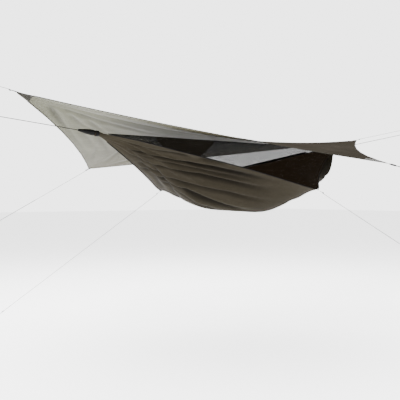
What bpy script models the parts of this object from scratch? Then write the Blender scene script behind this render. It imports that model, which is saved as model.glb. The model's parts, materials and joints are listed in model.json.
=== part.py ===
"""A camping hammock with a mosquito net, under an asymmetric rain fly, hung on taut ropes.

The ridgeline runs along X from the head end, at the left, to the foot end. +Y points from
the near side to the far side, and +Z is up. Every piece is modelled about the middle of the
ridgeline, and an empty then moves the whole hammock so that the centre of the left hang
ring is the origin. All sizes are in metres.
"""

import math

import bmesh
import bpy
from mathutils import Matrix, Vector
from mathutils.geometry import intersect_ray_tri

# The ridgeline, and the bed's two side tie-outs, which are a half turn apart
RIDGELINE_LENGTH = 2.546
RIDGELINE_DIAMETER = 0.003
TIE_OUT_ALONG = 0.246
TIE_OUT_ACROSS = 0.758
TIE_OUT_DROP = 0.415

# The bed's cloth
BED_THICKNESS = 0.0012
BED_DEPTH = 0.284
BED_FOLD_DEPTH = 0.015
SIDE_BULGE = 0.114
SIDE_BULGE_DROP = 0.040
BUNCH_RADIUS = 0.018
BUNCH_REACH = 0.250
EDGE_TAPE_RADIUS = 0.004
EDGE_STEP = 0.010
CLOTH_CLEARANCE = 0.0005

# The net and its zip
NET_THICKNESS = 0.0008
NET_SEAM_RISE = 0.0052
NET_END_GAP = 0.080
ZIP_END_GAP = 0.273
ZIP_HEIGHT = 0.028
ZIP_TAPE_TOP = 0.044
ZIP_TAPE_THICKNESS = 0.0010
ZIP_BEAD_WIDTH = 0.0026
ZIP_BEAD_THICKNESS = 0.0030
ZIP_BEAD_GAP = 0.0022

# The zip's sliders and pulls
SLIDER_PLACES = (0.563, 0.660)
SLIDER_LENGTH = 0.018
SLIDER_HALF_WIDTH = 0.0065
SLIDER_NOSE_HALF_WIDTH = 0.0045
SLIDER_CLEARANCE = 0.0007
SLIDER_PLATE = 0.0014
SLIDER_WEDGE = 0.0010
CROWN_LENGTH = 0.011
CROWN_WIDTH = 0.0020
CROWN_WALL = 0.0012
CROWN_ROOM = 0.0030
PULL_LENGTH = 0.030
PULL_HALF_WIDTH = 0.0038
PULL_THICKNESS = 0.0012
PULL_WINDOW_LENGTH = 0.0085
PULL_SIDE_WALL = 0.0015

# The pocket and the hooks on the ridgeline
POCKET_START = -0.777
POCKET_END = -0.205
POCKET_DEPTH = 0.190
POCKET_SIDE_RUN = 0.190
POCKET_SHORTEST = 0.016
POCKET_BACK_LEG = 0.026
POCKET_THICKNESS = 0.0010
HOOK_PLACES = (-0.884, -0.838)
HOOK_WIRE_RADIUS = 0.0008
HOOK_CLEARANCE = 0.0004
HOOK_DROP = 0.013

# The gathered ends: bands, sleeves, suspension ropes and hang rings
BAND_LENGTH = 0.030
BAND_WALL = 0.0016
SLEEVE_LENGTH = 0.135
SLEEVE_RADIUS = 0.021
SLEEVE_TIP_RADIUS = 0.0065
SLEEVE_PLEAT_DEPTH = 0.0030
SLEEVE_CLEARANCE = 0.0006
ROPE_DIAMETER = 0.005
ROPE_LEFT_REACH = 0.860
ROPE_RIGHT_REACH = 1.240
ROPE_KNOT_RADIUS = 0.011
ROPE_KNOT = (0.004, 0.010, 0.018, 0.023)
RING_BORE_RADIUS = 0.019
RING_OUTER_RADIUS = 0.028
RING_THICKNESS = 0.0064
RING_CHAMFER = 0.0014
WHIPPING_START = 0.078
WHIPPING_LENGTH = 0.030
WHIPPING_WALL = 0.0012
WHIPPING_CLEARANCE = 0.0004

# The fly: its corners, measured from the middle of the ridgeline
FLY_LEFT_REACH = 1.903
FLY_LEFT_RISE = 0.246
FLY_RIGHT_REACH = 1.611
FLY_RIGHT_RISE = 0.104
FLY_NEAR_ALONG = 0.372
FLY_NEAR_ACROSS = 1.297
FLY_NEAR_DROP = 0.219
FLY_FAR_ALONG = 0.687
FLY_FAR_ACROSS = 1.318
FLY_FAR_DROP = 0.196
FLY_RIDGE_SAG = 0.141
FLY_THICKNESS = 0.0012
FLY_CROWN = 0.018
FLY_SEAM_GAP = 0.0006
RIDGE_TAPE_HALF_WIDTH = 0.010
RIDGE_TAPE_THICKNESS = 0.0010
HEM_WIDTH = 0.009
HEM_WALL = 0.0009
HEM_CLEARANCE = 0.0007
PATCH_REACH = 0.130
PATCH_DEPTH = 0.160
PATCH_THICKNESS = 0.0010
PATCH_CLEARANCE = 0.0005
CORNER_CUT = 0.020
HEM_START = 0.113
HEM_CORNER_GAP = 0.030
END_PATCH_REACH = 0.125

# How far each hem of the fly is drawn in, and down, at its middle
HEM_LEFT_NEAR_BOW = (0.054, 0.016)
HEM_LEFT_FAR_BOW = (0.190, 0.024)
HEM_RIGHT_NEAR_BOW = (0.125, 0.001)
HEM_RIGHT_FAR_BOW = (0.058, 0.008)

# The corner tabs, and the strap and buckle at the near corner
TAB_HALF_WIDTH = 0.008
TAB_THICKNESS = 0.0018
SIDE_TAB_SEAT = (0.040, 0.018)
END_TAB_SEAT = (0.056, 0.027)
TAB_HOLE_REACH = 0.030
TAB_END_REACH = 0.039
TAB_HOLE_RADIUS = 0.0024
TAB_CLEARANCE = 0.0005
STRAP_LENGTH = 0.088
STRAP_HALF_WIDTH = 0.006
CORNER_STEP = 0.003
BUCKLE_LENGTH = 0.030
BUCKLE_HALF_WIDTH = 0.012
BUCKLE_THICKNESS = 0.0060
BUCKLE_SLOT_DEPTH = 0.010
BUCKLE_CLEARANCE = 0.0004
BUCKLE_BEVEL = 0.0015
BUCKLE_HOLE_REACH = 0.022

# The fly's lines and the side guy lines
LINE_DIAMETER = 0.003
LINE_STEP = 0.110
STRAND_OFFSET = 0.0024
LINE_EYE_LENGTH = 0.030
LEFT_LINE_REACH = 0.240
RIGHT_LINE_REACH = 0.860
LEFT_LINE_DOUBLED = 0.070
RIGHT_LINE_DOUBLED = 0.120
FAR_GUY_REACH = 1.330
FAR_GUY_DOUBLED = 0.620
NEAR_GUY_REACH = 0.280
NEAR_GUY_DOUBLED = 0.140
NEAR_SIDE_REACH = 0.770
NEAR_SIDE_DOUBLED = 0.300
FAR_SIDE_REACH = 1.850
FAR_SIDE_DOUBLED = 0.140

# The runners on the guy lines
RUNNER_PLACE = 0.062
RUNNER_LENGTH = 0.022
RUNNER_HALF_WIDTH = 0.0075
RUNNER_THICKNESS = 0.0070
RUNNER_BORE_CLEARANCE = 0.0003
RUNNER_BEVEL = 0.0012
CUT_OVERRUN = 0.002

# The lines' headings, as components along X and Y and rise over run
LEFT_ROPE_RISE_SHARE = 0.0956
RIGHT_ROPE_RISE_SHARE = 0.1883
LEFT_LINE_RISE_SHARE = 0.1722
RIGHT_LINE_RISE_SHARE = 0.1915
NEAR_SIDE_HEADING = (0.55, -0.835, -0.6616)
FAR_SIDE_HEADING = (-0.80, 0.60, -0.7606)
NEAR_GUY_HEADING = (0.40, -0.917, -0.304)
FAR_GUY_HEADING = (-0.40, 0.917, -0.4297)

# Counts
BED_COLUMNS = 20
NET_COLUMNS = 5
BED_SPAN_COUNTS = (1, 3, 2, 6, 4, 6, 2, 3, 1)
FLY_SPAN_COUNTS = (1, 1, 5, 1, 1, 1, 1, 5, 1, 1, 1, 1, 5, 1, 1)
FLY_MIDDLE_COLUMNS = 3
RING_FACES = 32
SLEEVE_FACES = 32
SLEEVE_PLEATS = 8
CORD_BEVEL_STEPS = 2
BORE_FACES = 16
WHIPPING_STEPS = 6
HOOK_EYE_START = math.radians(-60)
HOOK_EYE_SWEEP = math.radians(300)
HOOK_EYE_STEPS = 8
HOOK_BEND_SWEEP = math.radians(200)
HOOK_BEND_STEPS = 6
POCKET_TURN_COUNT = 5
STRAP_STEPS = 8

# Pure numbers that shape the cloth
LONG_ACROSS_POWER = 1.07
LONG_DROP_POWER = 1.28
SHORT_ACROSS_POWER = 1.40
SHORT_DROP_POWER = 0.80
BED_END_POWER = 1.8
BED_DEPTH_POWER = 3.0
BED_SECTION_POWER = 1.4
BED_SIDE_POWER = 1.35
BED_SKEW = 0.444
SIDE_BULGE_HEADING = (0.72, -0.69)
SIDE_BULGE_POWERS = (1.93, 1.38)
SIDE_BULGE_PEAK = 0.149
SIDE_BULGE_WIDTH = 0.96
BUNCH_OPEN_ANGLE = math.radians(95)
BUNCH_CLOSING_ANGLE = math.radians(55)
BUNCH_CLOSING_POWER = 6
FOLD_WIDTH_SHARE = 0.034
FOLD_END_SHARE = 0.12
PLEAT_SHARE = 0.30
MOST_MARGIN_SHARE = 0.06
MOST_RISE_SHARE = 0.50
MOST_TAPE_SHARE = 0.15
MOST_HEM_SHARE = 0.20
MOST_PATCH_SHARE = 0.60
PLEAT_COUNT = 5.5
STRAP_TURN = math.radians(180)
ROPE_KNOT_SHARES = (0.55, 1.0, 0.95)

# Where the near half's main folds run, as (along, across) at one end and the other, and how
# deep each is. Along counts from the head end to the foot end, across from the near edge to
# the far edge. The far half's folds are these after a half turn.
FOLD_SHARES = (
    ((0.05, 0.34), (0.31, 0.48), 1.00),
    ((0.06, 0.27), (0.50, 0.18), 0.90),
    ((0.16, 0.16), (0.52, 0.02), 0.60),
    ((0.24, 0.26), (0.47, 0.12), 0.55),
    ((0.28, 0.35), (0.60, 0.55), 1.00),
    ((0.95, 0.30), (0.66, 0.10), 0.60),
    ((0.95, 0.42), (0.70, 0.33), 0.70),
)

# The end of a line: its eye, as (distance from the tip, distance to the side). The rope's
# eye passes through the hang ring, and its distances count from the ring's centre.
ROPE_EYE = (
    (0.1500, 0.0000),
    (0.1300, -0.0012),
    (0.1120, -0.0029),
    (0.0950, -0.0029),
    (0.0780, -0.0029),
    (0.0640, -0.0058),
    (0.0500, -0.0095),
    (0.0370, -0.0112),
    (0.0265, -0.0105),
    (0.0192, -0.0075),
    (0.0160, 0.0000),
    (0.0192, 0.0075),
    (0.0265, 0.0105),
    (0.0370, 0.0112),
    (0.0500, 0.0095),
    (0.0640, 0.0058),
    (0.0780, 0.0029),
    (0.0950, 0.0029),
    (0.1140, 0.0029),
)
LINE_EYE = (
    (0.0300, -0.0024),
    (0.0220, -0.0045),
    (0.0140, -0.0068),
    (0.0070, -0.0066),
    (0.0018, -0.0038),
    (0.0000, 0.0000),
    (0.0018, 0.0038),
    (0.0070, 0.0066),
    (0.0140, 0.0068),
    (0.0220, 0.0045),
    (0.0300, 0.0024),
)

# The start of a line: its stopper knot on one side of what it passes through, as (distance
# from that side's face, radius), and its bend along the other side, as (distance out from the
# hole, distance from that side's face)
LINE_KNOT = (
    (0.0062, 0.0024),
    (0.0044, 0.0038),
    (0.0022, 0.0039),
    (0.0008, 0.0034),
    (0.0003, 0.0015),
)
LINE_BEND = (
    (0.0003, 0.0003),
    (0.0014, 0.0014),
    (0.0032, 0.0020),
    (0.0060, 0.0021),
    (0.0120, 0.0021),
)

HALF = RIDGELINE_LENGTH / 2
ZIP_REACH = HALF - ZIP_END_GAP
LEFT_ROPE = Vector((-1, 0, LEFT_ROPE_RISE_SHARE))
RIGHT_ROPE = Vector((1, 0, RIGHT_ROPE_RISE_SHARE))
LEFT_RING = Vector((-HALF, 0, 0)) + LEFT_ROPE * ROPE_LEFT_REACH
RIGHT_RING = Vector((HALF, 0, 0)) + RIGHT_ROPE * ROPE_RIGHT_REACH

COLOURS = {
    "fly_cloth": ((0.30, 0.29, 0.21), 0.62, 0.0),
    "fly_tape": ((0.16, 0.155, 0.12), 0.70, 0.0),
    "bed_cloth": ((0.155, 0.130, 0.098), 0.70, 0.0),
    "net": ((0.030, 0.028, 0.026), 0.85, 0.0),
    "black_webbing": ((0.020, 0.020, 0.021), 0.80, 0.0),
    "cord": ((0.050, 0.050, 0.050), 0.75, 0.0),
    "black_plastic": ((0.022, 0.022, 0.023), 0.40, 0.0),
    "aluminium": ((0.72, 0.72, 0.74), 0.35, 1.0),
}


def clear_scene():
    """Remove whatever the file holds when the script starts."""
    for old in list(bpy.data.objects):
        bpy.data.objects.remove(old, do_unlink=True)


def material(name):
    """The Principled material of this name, made the first time it is asked for."""
    found = bpy.data.materials.get(name)
    if found:
        return found
    colour, roughness, metallic = COLOURS[name]
    made = bpy.data.materials.new(name)
    made.use_nodes = True
    shader = made.node_tree.nodes["Principled BSDF"]
    shader.inputs["Base Color"].default_value = (*colour, 1)
    shader.inputs["Roughness"].default_value = roughness
    shader.inputs["Metallic"].default_value = metallic
    made.diffuse_color = (*colour, 1)
    return made


def add_object(name, data, material_name, frame=None):
    """Link a new object under the hammock's empty, with its local frame and its material."""
    made = bpy.data.objects.new(name, data)
    bpy.context.scene.collection.objects.link(made)
    made.parent = bpy.data.objects["hammock_origin"]
    if frame is not None:
        made.matrix_local = frame
    data.materials.append(material(material_name))
    return made


def mesh_from(name, points, faces):
    """A mesh of these points and faces, its normals made to agree."""
    body = bmesh.new()
    vertices = [body.verts.new(p) for p in points]
    for face in faces:
        body.faces.new([vertices[i] for i in face])
    bmesh.ops.recalc_face_normals(body, faces=body.faces[:])
    mesh = bpy.data.meshes.new(name)
    body.to_mesh(mesh)
    body.free()
    return mesh


def frame_of(origin, first, third):
    """A frame whose X lies along first and whose Z is as near third as it can be."""
    x = Vector(first).normalized()
    y = Vector(third).cross(x).normalized()
    z = x.cross(y)
    rotation = Matrix((x, y, z)).transposed().to_4x4()
    return Matrix.Translation(origin) @ rotation


def grid_triangles(rows, turned=None):
    """Triangles over a grid of points. turned(i, j) tells which cells have their other
    diagonal."""
    points = [p for row in rows for p in row]
    columns = len(rows[0])
    faces = []
    for i in range(len(rows) - 1):
        for j in range(columns - 1):
            a, b = i * columns + j, (i + 1) * columns + j
            if turned and turned(i, j):
                faces += [(a, b, a + 1), (b, b + 1, a + 1)]
            else:
                faces += [(a, b, b + 1), (a, b + 1, a + 1)]
    return points, faces


def add_sheet(name, points, faces, thickness, material_name):
    """A sheet of cloth: a triangulated middle surface, thickened half to each side."""
    sheet = add_object(name, mesh_from(name, points, faces), material_name)
    solidify = sheet.modifiers.new("thickness", "SOLIDIFY")
    solidify.thickness = thickness
    solidify.offset = 0
    sheet.data.shade_smooth()
    return sheet


def add_loft(name, loops, material_name, ring=False, frame=None):
    """A solid through closed loops of points. With ring, the last loop joins the first."""
    count = len(loops[0])
    points = [p for loop in loops for p in loop]
    faces = []
    for k in range(len(loops) if ring else len(loops) - 1):
        after = (k + 1) % len(loops)
        for i in range(count):
            j = (i + 1) % count
            faces.append((k * count + i, k * count + j, after * count + j, after * count + i))
    if not ring:
        faces.append(tuple(range(count)))
        faces.append(tuple((len(loops) - 1) * count + i for i in range(count)))
    return add_object(name, mesh_from(name, points, faces), material_name, frame)


def smooth_route(points, steps):
    """Points read from the smooth curve through the given ones, steps to each span."""
    padded = [2 * points[0] - points[1], *points, 2 * points[-1] - points[-2]]
    route = []
    for k in range(1, len(padded) - 2):
        p0, p1, p2, p3 = padded[k - 1 : k + 3]
        for step in range(steps):
            t = step / steps
            route.append(
                p1
                + (p2 - p0) * (t / 2)
                + (2 * p0 - 5 * p1 + 4 * p2 - p3) * (t * t / 2)
                + (3 * p1 - p0 - 3 * p2 + p3) * (t * t * t / 2)
            )
    route.append(padded[-2])
    return route


def add_cord(name, points, radius, material_name, radii=None):
    """A round cord along these points. A longer radius at a point makes a knot there."""
    curve = bpy.data.curves.new(name, "CURVE")
    curve.dimensions = "3D"
    curve.bevel_depth = radius
    curve.bevel_resolution = CORD_BEVEL_STEPS
    curve.use_fill_caps = True
    spline = curve.splines.new("POLY")
    spline.points.add(len(points) - 1)
    for k, point in enumerate(points):
        spline.points[k].co = (*point, 1)
        spline.points[k].radius = radii[k] / radius if radii else 1
    spline.use_smooth = True
    return add_object(name, curve, material_name)


def add_cutter(name, mesh, frame):
    """A hidden solid that a Boolean takes away."""
    cutter = bpy.data.objects.new(name, mesh)
    bpy.context.scene.collection.objects.link(cutter)
    cutter.parent = bpy.data.objects["hammock_origin"]
    cutter.matrix_local = frame
    cutter.hide_render = True
    cutter.display_type = "WIRE"
    return cutter


def cut(target, cutter, operation="DIFFERENCE"):
    """Take the cutter away from the target, or join it on, with an exact Boolean."""
    boolean = target.modifiers.new("cut", "BOOLEAN")
    boolean.operation = operation
    boolean.solver = "EXACT"
    boolean.object = cutter


def box_mesh(name, low, high):
    """A box between two corners."""
    body = bmesh.new()
    bmesh.ops.create_cube(body, size=1)
    for vertex in body.verts:
        for axis in range(3):
            share = vertex.co[axis] + 0.5
            vertex.co[axis] = low[axis] + (high[axis] - low[axis]) * share
    mesh = bpy.data.meshes.new(name)
    body.to_mesh(mesh)
    body.free()
    return mesh


def rod_mesh(name, radius, length):
    """A rod along its own Z, about its middle."""
    body = bmesh.new()
    bmesh.ops.create_cone(
        body, cap_ends=True, segments=BORE_FACES, radius1=radius, radius2=radius, depth=length
    )
    mesh = bpy.data.meshes.new(name)
    body.to_mesh(mesh)
    body.free()
    return mesh


def spread(keys, counts):
    """Places from key to key, with so many equal steps between each pair."""
    places = [keys[0]]
    for start, end, count in zip(keys, keys[1:], counts):
        places += [start + (end - start) * (k + 1) / count for k in range(count)]
    return places


def edge_shares(along):
    """How far out and down the near edge is at this place, as shares of the tie-out's."""
    if along > TIE_OUT_ALONG:
        share = max(HALF - along, 0) / (HALF - TIE_OUT_ALONG)
        return share**SHORT_ACROSS_POWER, share**SHORT_DROP_POWER
    share = max(along + HALF, 0) / (HALF + TIE_OUT_ALONG)
    return share**LONG_ACROSS_POWER, share**LONG_DROP_POWER


def near_edge(along):
    """The bed's near edge. The stretch that carries the zip on the far side is straight."""
    start, end = -ZIP_REACH, -TIE_OUT_ALONG
    if start < along < end:
        t = (along - start) / (end - start)
        first, last = edge_shares(start), edge_shares(end)
        across, drop = (a + (b - a) * t for a, b in zip(first, last))
    else:
        across, drop = edge_shares(along)
    return Vector((along, -TIE_OUT_ACROSS * across, -TIE_OUT_DROP * drop))


def from_end(along):
    """How far this place is from the nearer end of the ridgeline."""
    return max(0, HALF - abs(along))


def gathered(along):
    """How far the bed is gathered here: 1 at the ends, 0 from BUNCH_REACH inwards."""
    return max(0, 1 - from_end(along) / BUNCH_REACH)


def bunch_offset(along, across):
    """What gathers the bed's section into an open ring of cloth near its two ends."""
    closed = gathered(along) ** BUNCH_CLOSING_POWER
    angle = (2 * across - 1) * (BUNCH_OPEN_ANGLE + BUNCH_CLOSING_ANGLE * closed)
    radius = BUNCH_RADIUS * gathered(along) ** 2
    return Vector((0, math.sin(angle), -math.cos(angle))) * radius


def half_turn(point):
    """The same point after a half turn about the vertical through the middle."""
    return Vector((-point.x, -point.y, point.z))


def bed_edge(along, far=False):
    """The middle of the tape along the bed's near or far edge."""
    if far:
        return half_turn(bed_edge(-along))
    return near_edge(along) + bunch_offset(along, 0)


def off_edge(along, far, towards):
    """The direction square to the bed's edge here that leads most nearly to a point."""
    start = bed_edge(along - EDGE_STEP, far)
    ahead = (bed_edge(along + EDGE_STEP, far) - start).normalized()
    way = towards - bed_edge(along, far)
    return (way - ahead * way.dot(ahead)).normalized()


def fold_depth(along_share, across):
    """How far the main folds draw the cloth inwards here."""
    depth = 0
    for mirrored in (False, True):
        s = 1 - along_share if mirrored else along_share
        v = 1 - across if mirrored else across
        for (s0, v0), (s1, v1), share in FOLD_SHARES:
            t = (s - s0) / (s1 - s0)
            ends = min(1, max(0, t / FOLD_END_SHARE), max(0, (1 - t) / FOLD_END_SHARE))
            middle = v0 + (v1 - v0) * t
            depth += share * ends * math.exp(-(((v - middle) / FOLD_WIDTH_SHARE) ** 2))
    return BED_FOLD_DEPTH * depth


def side_bulge(along, across):
    """How far the cloth swells past the near edge's short side here, as a share."""
    t = min(1, max(0, along - TIE_OUT_ALONG) / (HALF - TIE_OUT_ALONG))
    a, b = SIDE_BULGE_POWERS
    lengthwise = (t * (a + b) / a) ** a * ((1 - t) * (a + b) / b) ** b
    v = across / SIDE_BULGE_PEAK
    return lengthwise * (v * math.exp(1 - v)) ** SIDE_BULGE_WIDTH


def bed_point(along, across):
    """A point of the bed's cloth, between its near edge (0) and its far edge (1)."""
    near, far = near_edge(along), half_turn(near_edge(-along))
    share = along / HALF
    depth = BED_DEPTH * max(0, 1 - abs(share) ** BED_END_POWER) ** BED_DEPTH_POWER
    depth *= 1 + BED_SKEW * share
    belly = (1 - abs(2 * across - 1) ** BED_SECTION_POWER) ** BED_SIDE_POWER
    point = near.lerp(far, across) - Vector((0, 0, depth * belly))
    swell = Vector((*SIDE_BULGE_HEADING, 0)).normalized() * SIDE_BULGE
    swell.z = -SIDE_BULGE_DROP
    point += swell * side_bulge(along, across)
    inwards = near.lerp(far, 0.5) - point
    inwards.x = 0
    inwards += Vector((0, 0, BED_DEPTH))
    pleats = math.sin(2 * math.pi * PLEAT_COUNT * across) * PLEAT_SHARE
    gather = max(0, 1 - from_end(along) / (2 * BUNCH_REACH)) * (belly + PLEAT_SHARE)
    fold = fold_depth((share + 1) / 2, across) * min(1, belly / PLEAT_SHARE)
    fold += BED_FOLD_DEPTH * pleats * gather * min(1, from_end(along) / BUNCH_REACH)
    return point + inwards.normalized() * fold + bunch_offset(along, across)


def bed_places():
    """The places along the ridgeline where the bed's cloth has a section."""
    keys = (-HALF - BAND_LENGTH, -HALF, NET_END_GAP - HALF, -ZIP_REACH, -TIE_OUT_ALONG)
    return spread((*keys, *(-k for k in reversed(keys))), BED_SPAN_COUNTS)


def add_bed():
    """The bed: one cloth, gathered at both ends, its edges set just inside the edge tapes."""
    inset = EDGE_TAPE_RADIUS + BED_THICKNESS / 2 + CLOTH_CLEARANCE
    rows = []
    for along in bed_places():
        width = (bed_edge(along, True) - bed_edge(along)).length
        margin = min(inset / width, MOST_MARGIN_SHARE)
        row = [bed_point(along, v) for v in spread((margin, 1 - margin), (BED_COLUMNS,))]
        for end, inner, far in ((0, 1, False), (-1, -2, True)):
            if abs(along) < HALF:
                row[end] = bed_edge(along, far) + off_edge(along, far, row[inner]) * inset
        rows.append(row)
    points, faces = grid_triangles(rows)
    return add_sheet("bed", points, faces, BED_THICKNESS, "bed_cloth")


def net_top(along, far):
    """Where a net panel meets the seam above the ridgeline."""
    return Vector((along, CLOTH_CLEARANCE if far else -CLOTH_CLEARANCE, NET_SEAM_RISE))


def net_direction(along, far):
    """The direction up a net panel, square to the bed's edge."""
    return off_edge(along, far, net_top(along, far))


def net_rows(places, far, start):
    """A net panel's points, from start above the middle of the edge tape to the seam."""
    rows = []
    for along in places:
        edge, up, top = bed_edge(along, far), net_direction(along, far), net_top(along, far)
        rise = min(ZIP_TAPE_TOP + CLOTH_CLEARANCE, MOST_RISE_SHARE * (top - edge).length)
        low = edge + up * rise
        row = [low.lerp(top, k / NET_COLUMNS) for k in range(NET_COLUMNS + 1)]
        if start < ZIP_TAPE_TOP:
            row.insert(0, edge + up * start)
        rows.append(row)
    return rows


def add_nets():
    """The near panel, and the far side's door between two short fixed gussets."""
    inset = EDGE_TAPE_RADIUS + CLOTH_CLEARANCE
    places = [x for x in bed_places() if abs(x) < HALF - NET_END_GAP + CLOTH_CLEARANCE]
    points, faces = grid_triangles(net_rows(places, False, inset))
    add_sheet("net_near_panel", points, faces, NET_THICKNESS, "net")
    points, faces = grid_triangles(net_rows(zip_places(), True, ZIP_TAPE_TOP))
    door = add_sheet("net_door", points, faces, NET_THICKNESS, "net")
    set_origin(door, Vector((0, 0, NET_SEAM_RISE)))
    for name, side in (("net_head_gusset", -1), ("net_foot_gusset", 1)):
        outer = [x for x in places if side * x > ZIP_REACH + CLOTH_CLEARANCE]
        inner = side * (ZIP_REACH + CLOTH_CLEARANCE)
        points, faces = grid_triangles(net_rows(sorted([inner, *outer]), True, inset))
        add_sheet(name, points, faces, NET_THICKNESS, "net")


def set_origin(piece, origin):
    """Move a piece's origin to this point, with its shape left where it is."""
    piece.data.transform(Matrix.Translation(-origin))
    piece.location = origin


def add_edge_tapes():
    """The tape that binds each long edge of the bed."""
    places = [x for x in bed_places() if from_end(x) > NET_END_GAP - CLOTH_CLEARANCE]
    for name, far in (("bed_edge_tape_near", False), ("bed_edge_tape_far", True)):
        loops = []
        for along in places:
            back, ahead = bed_edge(along - EDGE_STEP, far), bed_edge(along + EDGE_STEP, far)
            frame = frame_of(bed_edge(along, far), ahead - back, (0, 0, 1))
            loops.append([frame @ corner for corner in octagon(EDGE_TAPE_RADIUS)])
        add_loft(name, loops, "black_webbing")


def octagon(radius):
    """Eight points round the local X axis."""
    turns = [2 * math.pi * (k + 0.5) / 8 for k in range(8)]
    return [Vector((0, radius * math.cos(a), radius * math.sin(a))) for a in turns]


def add_ridgeline():
    """The structural ridgeline, from one rope's knot to the other's."""
    count = round(RIDGELINE_LENGTH / LINE_STEP)
    places = spread((-HALF, HALF), (count,))
    route = [Vector((along, 0, 0)) for along in places]
    add_cord("ridgeline", route, RIDGELINE_DIAMETER / 2, "black_webbing")


def zip_places():
    """The places along the ridgeline where the zip and the door have a section."""
    return [x for x in bed_places() if abs(x) < ZIP_REACH + CLOTH_CLEARANCE]


def chain_point(along):
    """The middle of the zip's chain."""
    return bed_edge(along, True) + net_direction(along, True) * ZIP_HEIGHT


def zip_frame(along):
    """A frame on the chain: X towards the head, Y up the net, Z out of the net."""
    back = bed_edge(along - EDGE_STEP, True) - bed_edge(along + EDGE_STEP, True)
    out = back.cross(net_direction(along, True))
    return frame_of(chain_point(along), back, out)


def add_zip_tapes():
    """Two tapes, each with its half of the chain: one sewn to the bed, one to the door."""
    half_tape, half_bead = ZIP_TAPE_THICKNESS / 2, ZIP_BEAD_THICKNESS / 2
    near_bead, far_bead = ZIP_BEAD_GAP / 2, ZIP_BEAD_GAP / 2 + ZIP_BEAD_WIDTH
    below = ZIP_HEIGHT - EDGE_TAPE_RADIUS - CLOTH_CLEARANCE
    above = ZIP_TAPE_TOP - ZIP_HEIGHT
    for name, side, reach in (("zip_tape_bed", -1, below), ("zip_tape_door", 1, above)):
        outline = [
            (reach, -half_tape),
            (far_bead, -half_tape),
            (far_bead, -half_bead),
            (near_bead, -half_bead),
            (near_bead, half_bead),
            (far_bead, half_bead),
            (far_bead, half_tape),
            (reach, half_tape),
        ]
        loops = []
        for along in zip_places():
            frame = zip_frame(along)
            loops.append([frame @ Vector((0, side * p, q)) for p, q in outline])
        tape = add_loft(name, loops, "black_webbing")
        if side > 0:
            set_origin(tape, Vector((0, 0, NET_SEAM_RISE)))


def add_slider(name, along):
    """A zip slider: two plates and a wedge, with a crown that holds the pull."""
    channel = ZIP_BEAD_THICKNESS / 2 + SLIDER_CLEARANCE
    face = channel + SLIDER_PLATE
    wedge = SLIDER_WEDGE / 2
    loops = []
    ends = ((-1, SLIDER_HALF_WIDTH), (0, SLIDER_HALF_WIDTH), (1, SLIDER_NOSE_HALF_WIDTH))
    for side, wide in ends:
        outline = [
            (-wide, face),
            (-wide, channel),
            (-wedge, channel),
            (-wedge, -face),
            (wide, -face),
            (wide, -channel),
            (wedge, -channel),
            (wedge, channel),
            (wide, channel),
            (wide, face),
        ]
        loops.append([Vector((side * SLIDER_LENGTH / 2, p, q)) for p, q in outline])
    frame = zip_frame(along)
    slider = add_loft(name, loops, "black_plastic", frame=frame)
    root, top = face - SLIDER_PLATE / 2, face + CROWN_ROOM
    half, leg = CROWN_LENGTH / 2, CROWN_LENGTH / 2 - CROWN_WALL
    shoulder = top + CROWN_WALL / 2
    arch = [
        (-half, root),
        (-half, top),
        (-leg, top + CROWN_WALL),
        (leg, top + CROWN_WALL),
        (half, top),
        (half, root),
        (leg, root),
        (leg, shoulder - CROWN_WALL),
        (leg - CROWN_WALL / 2, top),
        (CROWN_WALL / 2 - leg, top),
        (-leg, shoulder - CROWN_WALL),
        (-leg, root),
    ]
    sides = [[Vector((x, y, z)) for x, z in arch] for y in (-CROWN_WIDTH / 2, CROWN_WIDTH / 2)]
    crown = add_loft(name + "_crown", sides, "black_plastic", frame=frame)
    crown.hide_render = True
    crown.display_type = "WIRE"
    cut(slider, crown, "UNION")
    return slider


def add_pull(name, along):
    """A zip pull: a tab whose end bar lies under the crown, drawn as a frame and a handle."""
    face = ZIP_BEAD_THICKNESS / 2 + SLIDER_CLEARANCE + SLIDER_PLATE
    pivot = zip_frame(along) @ Matrix.Translation((0, 0, face + CROWN_ROOM / 2))
    bar = PULL_THICKNESS / 2
    columns = (bar, -bar, -PULL_WINDOW_LENGTH, -PULL_LENGTH)
    window = PULL_HALF_WIDTH - PULL_SIDE_WALL
    lanes = (-PULL_HALF_WIDTH, -window, window, PULL_HALF_WIDTH)
    points = [Vector((x, y, 0)) for x in columns for y in lanes]
    faces = []
    for i in range(len(columns) - 1):
        for j in range(len(lanes) - 1):
            if (i, j) != (1, 1):
                a, b = i * len(lanes) + j, (i + 1) * len(lanes) + j
                faces.append((a, b, b + 1, a + 1))
    pull = add_object(name, mesh_from(name, points, faces), "black_plastic", pivot)
    solidify = pull.modifiers.new("thickness", "SOLIDIFY")
    solidify.thickness = PULL_THICKNESS
    solidify.offset = 0
    return pull


def add_pocket():
    """The organiser: one cloth folded over the ridgeline, with slanting sides."""
    turn_radius = RIDGELINE_DIAMETER / 2 + CLOTH_CLEARANCE + POCKET_THICKNESS / 2
    keys = (
        POCKET_START,
        POCKET_START + POCKET_SIDE_RUN,
        POCKET_END - POCKET_SIDE_RUN,
        POCKET_END,
    )
    rows = []
    for along in spread(keys, (3, 2, 3)):
        run = min(along - POCKET_START, POCKET_END - along, POCKET_SIDE_RUN)
        depth = POCKET_SHORTEST + (POCKET_DEPTH - POCKET_SHORTEST) * run / POCKET_SIDE_RUN
        back = min(POCKET_BACK_LEG, depth)
        row = [Vector((along, turn_radius, -back))]
        for k in range(POCKET_TURN_COUNT + 1):
            angle = math.pi * k / POCKET_TURN_COUNT
            y, z = turn_radius * math.cos(angle), turn_radius * math.sin(angle)
            row.append(Vector((along, y, z)))
        row += [Vector((along, -turn_radius, -depth * share)) for share in (0.5, 1)]
        rows.append(row)
    points, faces = grid_triangles(rows)
    add_sheet("ridgeline_pocket", points, faces, POCKET_THICKNESS, "net")


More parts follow.
